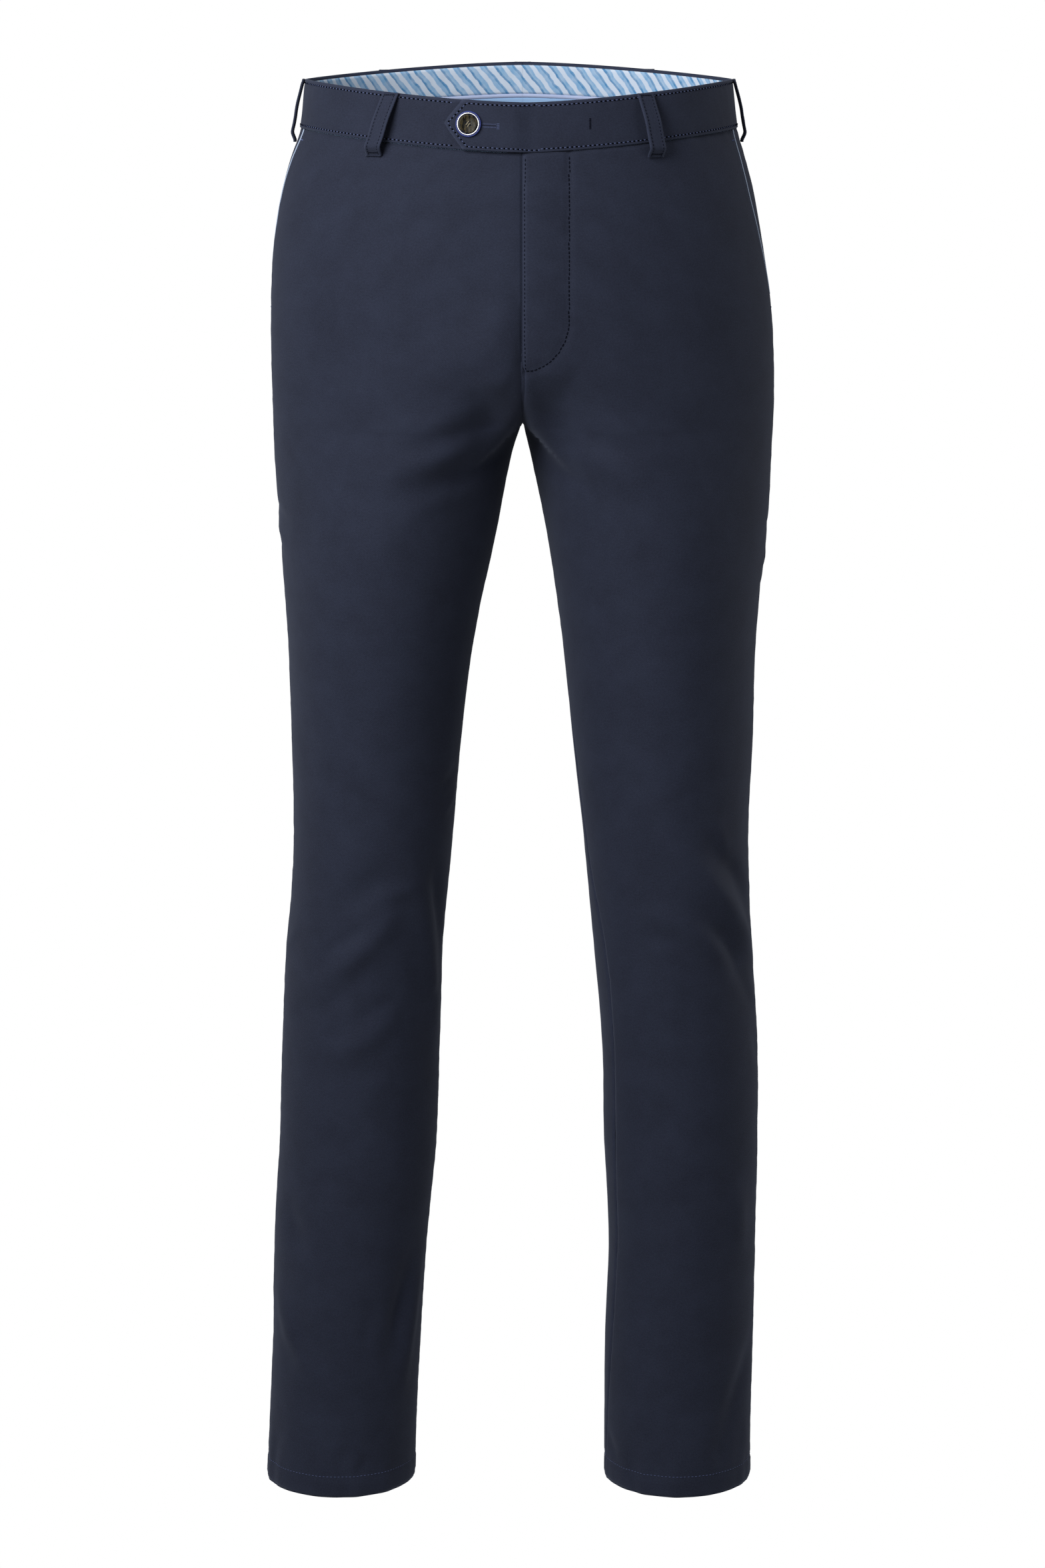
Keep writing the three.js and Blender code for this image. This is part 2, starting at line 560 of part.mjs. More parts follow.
for (const spec of LOOPS) add(spec.name, loop(spec), "cloth");

// Slant pockets: the facing seen under the open mouth, and the light edging along the front's cut edge.
const pocketLevels = [panelTop, ...PANEL_LEVELS.filter((level) => level > POCKET_END), POCKET_END];

function pocketFacing(side) {
  const place = (i, j) => {
    const level = pocketLevels[i];
    const mouth = frontGirth(side, level, 0);
    const columns = [-FACING_BEHIND, mouth / 2, mouth, frontGirth(side, level, 1 / PANEL_COLUMNS)];
    return [side, columns[j], level];
  };
  const outer = -CLOTH - GAP;
  return clothWall(pocketLevels.length, 4, place, outer, outer - THIN);
}

function pocketEdging(side) {
  const levels = pocketLevels.filter((level) => mouthAhead[side](level) > EDGING_ROOM);
  const place = (i, j) => {
    const ahead = mouthAhead[side](levels[i]) - GAP / 2 - EDGING_WIDTH * (1 - j);
    return [side, girthAhead(side, ahead, levels[i]), levels[i]];
  };
  return clothWall(levels.length, 2, place, -GAP / 2, -GAP / 2 - EDGING_THICK);
}

for (const side of SIDES) {
  add(`pocket_facing_${WORD[side]}`, pocketFacing(side), "cloth");
  add(`pocket_edging_${WORD[side]}`, pocketEdging(side), "edging");
}

// Behind the closed front opening: the fly's facing and the closed zip.
function flyFacing() {
  const curve = FLY.curveShares.map((t) => lerp(FLY.straightEnd, FLY.end, t));
  const levels = [panelTop, ...FLY.straightLevels, FLY.straightEnd, ...curve];
  const width = (level) => {
    const t = clamp((FLY.straightEnd - level) / (FLY.straightEnd - FLY.end), 0, 1);
    return FLY.width * Math.sqrt(1 - t * t);
  };
  const place = (i, j) => [1, girthAt(1, 1, lerp(FLY.edge, width(levels[i]), j / 4), levels[i]), levels[i]];
  const outer = -CLOTH - FLY.clear;
  return clothWall(levels.length, 5, place, outer, outer - THIN);
}

const zipOuter = -CLOTH - FLY.clear - THIN - 3 * GAP;

function zipTape() {
  const across = [-ZIP.half, -ZIP.toothHalf, ZIP.middle, ZIP.toothHalf, ZIP.half];
  const place = (i, j) => {
    const side = Math.sign(across[j]);
    return [side, girthAt(side, 1, across[j], ZIP.levels[i]), ZIP.levels[i]];
  };
  const teeth = (j) => (Math.abs(across[j]) <= ZIP.toothHalf ? ZIP.toothRise : 0);
  const inner = (i, j) => zipOuter - THIN - teeth(j);
  return clothWall(ZIP.levels.length, across.length, place, zipOuter, inner);
}

add("fly_facing", flyFacing(), "cloth");
add("zip_tape", zipTape(), "cloth");

function zipSlider() {
  const depth = zipOuter - THIN - ZIP.toothRise - 4 * GAP - SLIDER.thick / 2;
  const middle = spot(1, girthAt(1, 1, ZIP.middle, SLIDER.level), SLIDER.level, depth);
  const block = new THREE.BoxGeometry(SLIDER.width, SLIDER.thick, SLIDER.height);
  return block.translate(0, middle.y, middle.z);
}

add("zip_slider", zipSlider(), "metal");

// Plain welts of the back pockets.
function backWelt(side) {
  const levels = [WELT.top, WELT.top - WELT.height];
  const place = (i, j) => {
    const x = lerp(WELT.from, WELT.to, j / (WELT.columns - 1));
    return [side, girthAt(side, -1, x, levels[i]), levels[i]];
  };
  return clothWall(2, WELT.columns, place, GAP + WELT.thick, GAP);
}

for (const side of SIDES) add(`back_welt_${WORD[side]}`, backWelt(side), "cloth");

// The button lies on the tab: a rim, a ring pressed into the rim's step, and the four-hole face inside it.
const buttonSeat = new THREE.Group();

function turned(profile) {
  const points = profile.map(([r, y]) => new THREE.Vector2(r, y));
  return new THREE.LatheGeometry(points, BUTTON_STEPS).rotateX(Math.PI / 2);
}

function solidOf(geometry) {
  const bare = mergeVertices(geometry.deleteAttribute("normal").deleteAttribute("uv"), 1e-3);
  const vertProperties = new Float32Array(bare.attributes.position.array);
  const triVerts = new Uint32Array(bare.index.array);
  return new wasm.Manifold(new wasm.Mesh({ numProp: 3, vertProperties, triVerts }));
}

function geometryOf(solid) {
  const { vertProperties, triVerts } = solid.getMesh();
  const geometry = new THREE.BufferGeometry();
  geometry.setAttribute("position", new THREE.BufferAttribute(vertProperties, 3));
  return geometry.setIndex(new THREE.BufferAttribute(triVerts, 1));
}

function buttonRim() {
  const { radius, ringOuter, step } = BUTTON;
  return turned([
    [0, 0], [radius - 0.9, 0], [radius - 0.2, 0.5], [radius, 1.2], [radius - 0.3, 1.9], [ringOuter + 0.5, 2.1],
    [ringOuter + GAP, 1.9], [ringOuter + GAP, step], [0, step],
  ]);
}

function buttonRing() {
  const { ringOuter, ringInner, step, thick } = BUTTON;
  const floor = step + GAP;
  const crown = (ringOuter + ringInner) / 2;
  return turned([
    [ringInner, floor], [ringOuter, floor], [ringOuter, thick - 0.7], [crown, thick - 0.2],
    [ringInner, thick - 0.6], [ringInner, floor],
  ]);
}

function buttonFace() {
  const { ringInner, step } = BUTTON;
  const edge = ringInner - GAP;
  const floor = step + GAP;
  const disc = turned([[0, floor], [edge, floor], [edge, 2.1], [edge - 1.2, 2.2], [3.4, 1.95], [0, 1.95]]);
  let solid = solidOf(disc);
  for (const [x, y] of [[1, 1], [1, -1], [-1, 1], [-1, -1]]) {
    const drill = new THREE.CylinderGeometry(BUTTON_HOLE.radius, BUTTON_HOLE.radius, 4, 8).rotateX(Math.PI / 2);
    drill.translate((x * BUTTON_HOLE.spacing) / 2, (y * BUTTON_HOLE.spacing) / 2, 2);
    solid = solid.subtract(solidOf(drill));
  }
  return geometryOf(solid);
}

function placeButton() {
  const girth = girthAt(-1, 1, BUTTON.x, BUTTON.level);
  const onTab = BAND_PROUD + TAB.lift;
  const seat = spot(-1, girth, BUTTON.level, onTab + GAP);
  const outward = spot(-1, girth, BUTTON.level, onTab + GAP + 1).sub(seat);
  buttonSeat.position.copy(seat);
  buttonSeat.quaternion.setFromUnitVectors(new THREE.Vector3(0, 0, 1), outward.normalize());
  buttonSeat.add(
    add("button_rim", buttonRim(), "rim"),
    add("button_ring", buttonRing(), "metal"),
    add("button_face", buttonFace(), "horn"),
  );
  root.add(buttonSeat);
}

placeButton();

export default root;
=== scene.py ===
# %% [markdown]
# # Chino trousers, filled out as if worn
#
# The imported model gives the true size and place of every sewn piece. Here each piece is made again as cloth:
# a fine shell on the same form, with its creases, rolled seams, stitches and weave. Trousers are hard to
# model freely, because every piece has to meet its neighbours, so the whole garment hangs on one surface that
# is written as a function. A place on it is (side, girth, level), and each piece is a patch of such places.

import math

import bmesh
import bpy
import numpy as np
from mathutils import Matrix, Vector
from mathutils.bvhtree import BVHTree


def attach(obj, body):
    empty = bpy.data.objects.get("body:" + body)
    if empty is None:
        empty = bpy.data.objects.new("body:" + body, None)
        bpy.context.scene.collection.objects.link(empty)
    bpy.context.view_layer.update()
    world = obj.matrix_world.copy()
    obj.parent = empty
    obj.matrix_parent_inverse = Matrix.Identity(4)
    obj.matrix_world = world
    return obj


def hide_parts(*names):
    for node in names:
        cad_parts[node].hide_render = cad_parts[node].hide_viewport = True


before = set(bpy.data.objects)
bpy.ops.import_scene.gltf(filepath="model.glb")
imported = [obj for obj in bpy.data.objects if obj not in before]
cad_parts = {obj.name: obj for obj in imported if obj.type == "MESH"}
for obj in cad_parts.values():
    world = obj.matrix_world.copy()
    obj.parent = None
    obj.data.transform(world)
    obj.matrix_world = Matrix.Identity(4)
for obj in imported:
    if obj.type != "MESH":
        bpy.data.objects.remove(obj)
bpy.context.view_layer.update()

# %% [markdown]
# ## The camera
#
# A catalogue photograph is taken from far away with a long lens, so that the garment isn't distorted. The
# camera stands 3.3 m in front of the side seams, a little above the waist, and looks down by about ten
# degrees, which is why the inside of the back waistband shows over the front.

# %% Camera
camera_data = bpy.data.cameras.new("catalogue_camera")
camera_data.lens = 99.73
camera_data.sensor_width = 36
camera = bpy.data.objects.new("catalogue_camera", camera_data)
camera.location = (0, -3.3, 0.06)
camera.rotation_euler = (math.radians(90 - 10.2646), 0, 0)
bpy.context.collection.objects.link(camera)
bpy.context.scene.camera = camera
print("camera at", tuple(camera.location))

# %% [markdown]
# ## The cut
#
# These are the pattern's driving sizes in millimetres, the same as the solids': where the side seams and
# inseams run, the profile seen from the side, and the slant pockets. The waist's top edge at the sides is
# level 0, and the wearer's right is side -1.

# %% Driving sizes
CLOTH = 1.4
GAP = 0.3
BAND_HEIGHT = 36
BAND_THICK = 2.6
BAND_PROUD = 0.9
FRONT_DROP = 15
BACK_RISE = 11
WAIST_FADE = 110
CROTCH = -257
CROTCH_CURVE_TOP = -185
CROTCH_CURVE_POWER = 2.6
CROTCH_FULLNESS = 0.04
PINCH_POWER = 1.25
LEG_LAG = 200
PINCH_END = -340
WEDGE_STRETCH = 1.5
SEAM_DEPTH = 0.35
HEM = -1096

OUTSEAM = dict(
    level=[
        12, 0, -36, -60, -80, -120, -160, -220, -280, -340, -420, -500, -580, -620, -660, -740, -820, -900,
        -980, -1060, HEM,
    ],
    right=[
        160, 162, 166.5, 175, 180.5, 187, 190, 190.5, 189, 185.5, 180.5, 178, 177, 179, 183, 187.5, 190.5,
        195.5, 197.5, 201.5, 203.5,
    ],
    left=[
        155, 156.5, 161, 168, 173.5, 181, 187, 191, 190, 187, 179.5, 177.5, 174.5, 176, 178, 183.5, 184.5,
        183.5, 182.5, 181, 181,
    ],
)
INSEAM = dict(
    level=[CROTCH, -280, -340, -420, -500, -580, -660, -740, -820, -900, -980, -1060, HEM],
    right=[0.15, 7.5, 19.5, 36.5, 47, 54, 61.5, 64.5, 67.5, 75, 80.5, 84.5, 85.5],
    left=[0.15, 5.5, 18, 30, 38.5, 47.5, 55, 62, 64, 68, 65.5, 65, 65],
    turn=[0, 0, 0, 3, 9, 14, 30, 30, 29, 25, 22, 13, 10],
)
PROFILE = dict(
    level=[12, -36, -80, -120, -160, -200, -257, -300, -400, -500, -620, -740, -860, -980, HEM],
    seam=[0, 0, 0, 0, 0, 1, 5, 6, 6, 4, 0, 2, 6, 9, 9],
    front=[-110, -115, -119, -121, -121, -118, -110, -104, -92, -82, -74, -67, -61, -56, -53],
    back=[110, 118, 128, 135, 138, 136, 125, 115, 98, 82, 68, 69, 73, 73, 70],
)
POCKET_MOUTH = dict(
    level=[-36, -60, -85, -110, -135, -165, -178],
    right=[25, 19, 13, 8, 4, 0, 0],
    left=[27.5, 29, 30, 24, 17, 8, 0],
)
POCKET_END = -178
print("waist to hem", -HEM, "mm")

# %% [markdown]
# ## Smooth curves through the tables
#
# A garment's outline has no corners, so the values between two rows of a table are read off a smooth cubic.
# It is the same cubic as the solids use, or the cloth wouldn't lie on them.


# %% A smooth curve through one column
def track(table, column):
    at = -np.array(table["level"], float)
    values = np.array(table[column], float)

    def read(level):
        t = np.clip(-np.asarray(level, float), at[0], at[-1])
        i1 = np.clip(np.searchsorted(at, t, side="right"), 1, len(at) - 1)
        i0 = i1 - 1
        before = np.where(i0 == 0, i1, i0 - 1)
        after = np.where(i1 == len(at) - 1, i0, i1 + 1)
        half = (at[i1] - at[i0]) / 2
        weight_before = half / (at[i0] - at[before])
        weight_after = half / (at[after] - at[i1])
        p = (t - at[i0]) / (at[i1] - at[i0])
        p2 = p * p
        p3 = p2 * p
        own = (1 + weight_before) * p3 + (-1.5 - 2 * weight_before) * p2 + (weight_before - 0.5) * p + 1
        return (
            (-weight_before * p3 + 2 * weight_before * p2 - weight_before * p) * values[before]
            + own * values[i0]
            + ((-1 - weight_after) * p3 + (1.5 + weight_after) * p2 + 0.5 * p) * values[i1]
            + (weight_after * p3 - weight_after * p2) * values[after]
        )

    return read


def of_side(table):
    right, left = track(table, "right"), track(table, "left")
    return lambda side, level: np.where(np.asarray(side) < 0, right(level), left(level))


outseam = of_side(OUTSEAM)
inseam_line = of_side(INSEAM)
inseam_turn = track(INSEAM, "turn")
seam_plane = track(PROFILE, "seam")
front_line = track(PROFILE, "front")
back_line = track(PROFILE, "back")
mouth_ahead = of_side(POCKET_MOUTH)
print("hip width", round(float(outseam(-1, -200) + outseam(1, -200)), 1), "mm")

# %% [markdown]
# ## Folds
#
# Cloth that is filled out has few folds, and each has a cause: drag lines fan out from the crotch, where the
# two inseams pull, and the knees break into short slanting waves. Each is placed as a soft trough (lift below
# 0) or ridge between two places. The first table holds the large ones, which the solids have too, a little
# shallower. The second holds the fine creases that only cloth shows.

# %% Tables of folds
# Each row: side, girth and level of its start, girth and level of its end, bow, reach, lift.
MAIN_FOLDS = [
    (-1, 158, -229, 84, -262, 3, 12, -2.2),
    (-1, 150, -247, 92, -272, 2, 9, 1.8),
    (-1, 152, -262, 86, -288, 4, 11, -2.4),
    (-1, 163, -183, 80, -218, 5, 22, -1.4),
    (1, 150, -205, 92, -226, 3, 17, -1.0),
    (1, 146, -258, 86, -276, 3, 9, 1.6),
    (1, 152, -266, 88, -290, 3, 11, -2.2),
    (-1, 112, -592, 66, -622, 2, 13, 3.4),
    (-1, 116, -618, 40, -702, -6, 11, -4.2),
    (-1, 100, -652, 30, -716, -5, 12, 3),
    (-1, 122, -702, 62, -742, -3, 11, -3),
    (-1, 108, -560, 164, -752, -8, 12, -3.6),
    (-1, 138, -584, 172, -668, 0, 9, 3),
    (1, 100, -560, 6, -684, 6, 10, -4),
    (1, 72, -560, 4, -652, 5, 10, 3.2),
    (1, 112, -618, 38, -672, 4, 10, -3.2),
    (1, 80, -616, 14, -712, 5, 11, 3.2),
    (-1, 146, -890, 128, -1006, 3, 11, 2.6),
    (-1, 160, -896, 140, -1030, 2, 10, -2.8),
    (-1, 22, -926, 76, -1004, 6, 11, -2.4),
    (-1, 30, -856, 60, -904, 2, 12, 2.2),
    (1, 12, -966, 62, -1074, -4, 11, 2.4),
    (1, 46, -836, 42, -906, 0, 12, -2.2),
    (-1, -160, -250, -64, -300, -5, 14, -4),
    (-1, -150, -286, -82, -326, -4, 13, 3),
    (1, -158, -246, -70, -292, -4, 14, -3.8),
    (1, -146, -290, -76, -322, -5, 12, 2.8),
    (-1, -138, -600, -46, -634, 5, 11, -4.4),
    (-1, -146, -640, -52, -652, 4, 10, 3.2),
    (-1, -128, -676, -58, -668, -3, 11, -3.4),
    (1, -140, -590, -50, -622, 5, 11, -4),
    (1, -136, -634, -42, -640, 4, 10, 3),
    (1, -130, -662, -60, -680, -3, 11, -3.2),
    (-1, -70, -880, -116, -990, 4, 13, -2.6),
    (1, -112, -900, -72, -1010, 4, 13, -2.4),
]
CREASES = [
    # From the crotch and the foot of the fly.
    (-1, 160, -150, 122, -252, 5, 33, -5.0),
    (-1, 168, -196, 138, -248, 3, 18, -2.2),
    (-1, 158, -268, 70, -296, 5, 9, -1.7),
    (-1, 152, -284, 80, -314, 4, 9, 1.4),
    (1, 150, -276, 84, -306, 4, 10, -1.3),
    (-1, 172, -214, 118, -226, 2, 6, -1.1),
    (-1, 168, -236, 124, -243, 1, 5, 1.0),
    (-1, 170, -250, 112, -268, 2, 4.5, -1.0),
    (-1, 166, -274, 120, -300, 3, 6, 0.9),
    (-1, 150, -300, 96, -316, 2, 8, -1.0),
    (1, 168, -214, 128, -214, 1, 5, -0.8),
    (1, 170, -240, 118, -250, 2, 5, 1.0),
    (1, 168, -252, 108, -270, 2, 4.5, -1.0),
    (1, 160, -280, 112, -308, 2, 6, 0.9),
    # Puckers where the side seams pull at the thighs.
    (-1, -6, -318, 34, -330, 1, 4.5, 0.9),
    (-1, -4, -332, 26, -346, 1, 4, -0.9),
    (-1, -6, -344, 22, -362, 1, 4.5, 0.8),
    (1, -5, -330, 26, -346, 1, 4.5, 0.9),
    (1, -6, -352, 22, -368, 1, 4, -0.9),
    (1, -4, -376, 24, -392, 1, 4.5, 0.8),
    (-1, 172, -520, 138, -536, 1, 5, 1.1),
    (-1, 172, -538, 146, -556, 1, 4.5, -1.0),
    # Finer waves at the knees.
    (-1, 128, -606, 92, -616, 1, 6, -1.1),
    (-1, 96, -630, 52, -662, -2, 6, 1.2),
    (-1, 90, -668, 44, -704, -3, 6, -1.2),
    (-1, 120, -690, 84, -708, -2, 6, 1.1),
    (-1, 118, -758, 92, -762, 1, 8, -1.0),
    (-1, 36, -640, 6, -676, 1, 6, -1.0),
    (-1, 168, -690, 140, -706, 1, 6, 1.0),
    (1, 60, -548, 40, -596, 2, 7, -1.1),
    (1, 50, -584, 14, -622, 2, 6, 1.2),
    (1, 62, -634, 34, -674, 2, 6, 1.3),
    (1, 40, -664, 8, -716, 2, 7, -1.3),
    (1, 116, -640, 84, -650, 1, 6, 1.0),
    (1, 108, -668, 66, -690, 2, 7, -1.0),
    (1, 30, -720, 4, -762, 1, 8, 1.0),
    # The lower legs and over the hems.
    (-1, 144, -914, 130, -980, 1, 7, 1.2),
    (-1, 112, -930, 106, -982, 1, 8, 0.9),
    (-1, 96, -1052, 88, -1078, 1, 6, 1.1),
    (-1, 112, -1062, 104, -1084, 1, 5, 1.1),
    (-1, 40, -1040, 26, -1080, 1, 8, 0.8),
    (-1, 66, -960, 30, -1010, 2, 9, 0.9),
    (1, 166, -1056, 146, -1076, 1, 6, 1.2),
    (1, 60, -1050, 52, -1080, 1, 6, 0.9),
    (1, 30, -1036, 20, -1078, 1, 7, -0.9),
    (1, 84, -930, 70, -1000, 2, 10, -0.9),
    # On the back, of the same kinds.
    (-1, -168, -236, -124, -262, -2, 7, -1.2),
    (-1, -164, -266, -96, -306, -3, 7, 1.1),
    (1, -168, -232, -120, -260, -2, 7, -1.2),
    (1, -160, -268, -100, -302, -3, 7, 1.1),
    (-1, -120, -614, -74, -622, 2, 6, 1.2),
    (-1, -108, -660, -40, -664, 2, 6, -1.2),
    (-1, -140, -690, -96, -706, 2, 7, 1.0),
    (1, -122, -604, -66, -614, 2, 6, 1.2),
    (1, -116, -650, -58, -660, 2, 6, -1.2),
    (1, -96, -700, -50, -716, 2, 7, 1.0),
    (-1, -92, -820, -80, -880, 1, 10, 0.9),
    (1, -100, -800, -90, -870, 1, 10, 0.9),
]
print(len(MAIN_FOLDS), "folds and", len(CREASES), "creases")

# %% [markdown]
# ## The garment's surface
#
# At the waist each half of the section is half of an oval. Between the crotch curve and the thighs it turns
# into the oval of one leg. The crotch curve is what makes trousers fit: the centre seam turns in under the
# body along it.


# %% The smooth form
def ease(value, low, high):
    t = np.clip((value - low) / (high - low), 0, 1)
    return t * t * (3 - 2 * t)


def mix(a, b, share):
    return a + (b - a) * share


def leg_share(across, level):
    end = CROTCH - LEG_LAG * (1 - across)
    t = np.clip((CROTCH_CURVE_TOP - level) / (CROTCH_CURVE_TOP - end), 0, 1)
    curve = 1 - (1 - t**CROTCH_CURVE_POWER) ** (1 / CROTCH_CURVE_POWER)
    return mix(ease(t, 0, 1), curve, ease(across, 0.8, 1))


def no_furrow(height, hips, seam_height):
    """Keeps the cloth beside the centre seam from sinking below the seam's own share of the height."""
    least = hips * seam_height
    soft = CROTCH_FULLNESS * 4 * seam_height * (1 - seam_height)
    return (height + least + np.hypot(height - least, soft)) / 2


def inner_line(side, level):
    return np.where(level > CROTCH, GAP / 2, inseam_line(side, level))


def bare_skin(side, girth, level):
    angle = np.radians(girth)
    across = (1 - np.cos(angle)) / 2
    hips = np.sqrt(np.clip(1 - (1 - across) ** 2, 0, 1))
    turn = np.abs(np.sin(angle))
    pinch = np.where(across > 0.5, np.clip((level - PINCH_END) / (CROTCH - PINCH_END), 0, 1), 0)
    leg = mix(turn, turn**PINCH_POWER, pinch)
    plain = mix(hips, leg, leg_share(across, level))
    seam_height = 1 - leg_share(1.0, level)
    near_seam = (across > 0.5) & (level > CROTCH)
    height = np.where(near_seam, no_furrow(plain, hips, seam_height), plain)
    is_front = np.sin(angle) >= 0
    far = np.where(is_front, front_line(level), back_line(level))
    waist = 1 - ease(-level, BAND_HEIGHT, WAIST_FADE)
    middle = 1 - (1 - across) ** 1.5
    swing = np.where(is_front, -FRONT_DROP, BACK_RISE) * middle * waist
    x = side * mix(outseam(side, level), inner_line(side, level), across)
    y = mix(seam_plane(level), far, height)
    return np.stack([x, y, level + swing], axis=-1)


FOLD_DEPTH = 1.15  # times as deep as in the solids
FOLD_TAPER = 1.2  # how pointed a fold's ends are
FOLD_END = 162  # girth where the folds begin to fade
GIRTH_FACTOR = 1.75  # half of the way round a leg, over its width


def hump(distance, reach):
    return np.exp(-((distance / reach) ** 2))


def relief(side, girth, level):
    total = np.zeros(np.shape(girth))
    width = outseam(side, level) - np.where(level > CROTCH, 0, inseam_line(side, level))
    per_degree = GIRTH_FACTOR * width / 180
    for fold_side, from_girth, from_level, to_girth, to_level, bow, reach, lift in MAIN_FOLDS + CREASES:
        along_x = (to_girth - from_girth) * per_degree
        along_y = to_level - from_level
        length = np.hypot(along_x, along_y)
        away_x = (girth - from_girth) * per_degree
        away_y = level - from_level
        t = np.clip((away_x * along_x + away_y * along_y) / length**2, 0, 1)
        off = (away_x * along_y - away_y * along_x) / length - bow * 4 * t * (1 - t)
        bump = FOLD_DEPTH * lift * np.sin(np.pi * t) ** FOLD_TAPER * hump(off, reach)
        total += np.where(np.asarray(side) == fold_side, bump, 0)
    return total * (1 - ease(np.abs(girth), FOLD_END, 180))


FINE = 0.2  # the small step, in degrees and millimetres, that slopes are measured over


def skin(side, girth, level):
    ahead = np.minimum(girth + FINE, 180)
    behind = np.where(girth >= 180 - FINE, girth - FINE, girth)
    run = bare_skin(side, ahead, level) - bare_skin(side, behind, level)
    flat = np.stack([-run[..., 1], run[..., 0], np.zeros(np.shape(girth))], axis=-1)
    flat *= -np.asarray(side)[..., None] / np.maximum(np.linalg.norm(flat, axis=-1), 1e-9)[..., None]
    return bare_skin(side, girth, level) + flat * relief(side, girth, level)[..., None]


def surface(side, girth, level):
    """Points of the cloth's outer surface and its normals, in millimetres."""
    side, girth, level = np.broadcast_arrays(np.asarray(side, float), girth, level)
    girth, level = girth.astype(float), level.astype(float)
    at = skin(side, girth, level)
    back = np.where(girth > 0, -FINE, FINE)
    across = skin(side, girth + back, level) - at
    up = skin(side, girth, level + FINE) - skin(side, girth, level - FINE)
    normal = np.cross(across, up)
    normal /= np.maximum(np.linalg.norm(normal, axis=-1), 1e-9)[..., None]
    return at, normal * np.where(girth > 0, side, -side)[..., None]


def girth_at(side, face, x, level):
    outer, inner = outseam(side, level), inner_line(side, level)
    across = np.clip((outer - np.abs(x)) / (outer - inner), 0, 1)
    return face * np.degrees(np.arccos(1 - 2 * across))


def girth_ahead(distance, level):
    return np.degrees(math.sqrt(2) * distance / (seam_plane(level) - front_line(level)))


spot_check, _ = surface(-1, np.array([90.0]), np.array([-500.0]))
print("front of the right thigh", spot_check.round(1).tolist())

# %% [markdown]
# ## From places to a mesh
#
# A cloth piece starts as a flat grid, like its paper pattern. Each of its points is then moved to its place
# on the body. The grid's own rows and columns are kept as a UV map in metres, so that the weave follows the
# cloth. Solidify gives the sheet its thickness.


# %% Grid of points to a cloth piece
def arc(points, axis):
    steps = np.linalg.norm(np.diff(points, axis=axis), axis=-1)
    return np.concatenate([np.zeros_like(steps.take([0], axis)), np.cumsum(steps, axis)], axis)


def grid_mesh(name, points, outward, closed=False, wear=None, run_sign=1):
    rows, columns = points.shape[:2]
    sheet = bmesh.new()
    bmesh.ops.create_grid(sheet, x_segments=columns - 1, y_segments=rows - 1, size=1, calc_uvs=False)
    here = np.array([v.co for v in sheet.verts])
    j = np.rint((here[:, 0] + 1) / 2 * (columns - 1)).astype(int)
    i = np.rint((here[:, 1] + 1) / 2 * (rows - 1)).astype(int)
    row, column = rows // 2, columns // 2
    across = points[row, column + 1] - points[row, column]
    up = points[row + 1, column] - points[row, column]
    if np.dot(np.cross(across, up), outward[row, column]) < 0:
        bmesh.ops.reverse_faces(sheet, faces=sheet.faces)
    mesh = bpy.data.meshes.new(name)
    for vertex, place in zip(sheet.verts, points[i, j] / 1000):
        vertex.co = place
    sheet.to_mesh(mesh)
    sheet.free()
    corner = np.empty(len(mesh.loops), int)
    mesh.loops.foreach_get("vertex_index", corner)
    down = np.broadcast_to(arc(points, 0).mean(1)[:, None], points.shape[:2])
    flat = np.stack([run_sign * arc(points, 1), down], -1)
    layer = mesh.uv_layers.new(name="Cut")
    layer.data.foreach_set("uv", (flat[i, j][corner] / 1000).ravel())
    shade = mesh.attributes.new("wear", "FLOAT", "POINT")
    shade.data.foreach_set("value", (np.zeros((rows, columns)) if wear is None else wear)[i, j].ravel())
    if closed:
        joined = bmesh.new()
        joined.from_mesh(mesh)
        bmesh.ops.remove_doubles(joined, verts=joined.verts, dist=1e-6)
        joined.to_mesh(mesh)
        joined.free()
    mesh.shade_smooth()
    return mesh


def place_piece(name, mesh, material, replaces=()):
    piece = bpy.data.objects.new(name, mesh)
    bpy.context.collection.objects.link(piece)
    piece.data.materials.append(material)
    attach(piece, "root")
    if replaces:
        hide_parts(*replaces)
    return piece


def cloth_piece(name, points, outward, material, node, thick, slot="outer_cloth", **grid):
    """A sheet of real thickness from its grid of points, in millimetres."""
    piece = place_piece(name, grid_mesh(name, points, outward, **grid), material, [node])
    solid = piece.modifiers.new("cloth_thickness", "SOLIDIFY")
    solid.thickness = thick / 1000
    solid.offset = -1
    return piece


def waves(u, v, size, seed, count=14):
    """A quiet random swell about 1 high, made of sine waves whose lengths are near size."""
    rng = np.random.default_rng(seed)
    total = np.zeros(np.broadcast(u, v).shape)
    for _ in range(count):
        angle, phase, length = rng.uniform(0, math.tau), rng.uniform(0, math.tau), size * rng.uniform(0.7, 1.6)
        total += np.sin((u * math.cos(angle) + v * math.sin(angle)) * math.tau / length + phase)
    return total * 1.6 / count


print("helpers ready")

# %% [markdown]
# ## Materials
#
# Chinos are cotton twill that is dyed as a whole garment, so the colour is a dull navy, a little paler where
# an edge stands up and rubs. Raised edges and ridges are also painted paler, as painted highlight where they
# catch the light. Dyed cotton is never glossy. What light it gives back at a low angle comes from the fuzz of
# its fibres, which is what sheen stands for.


# %% Colour and node helpers
def srgb(code):
    values = [int(code[k : k + 2], 16) / 255 for k in (1, 3, 5)]
    return [v / 12.92 if v <= 0.04045 else ((v + 0.055) / 1.055) ** 2.4 for v in values] + [1]


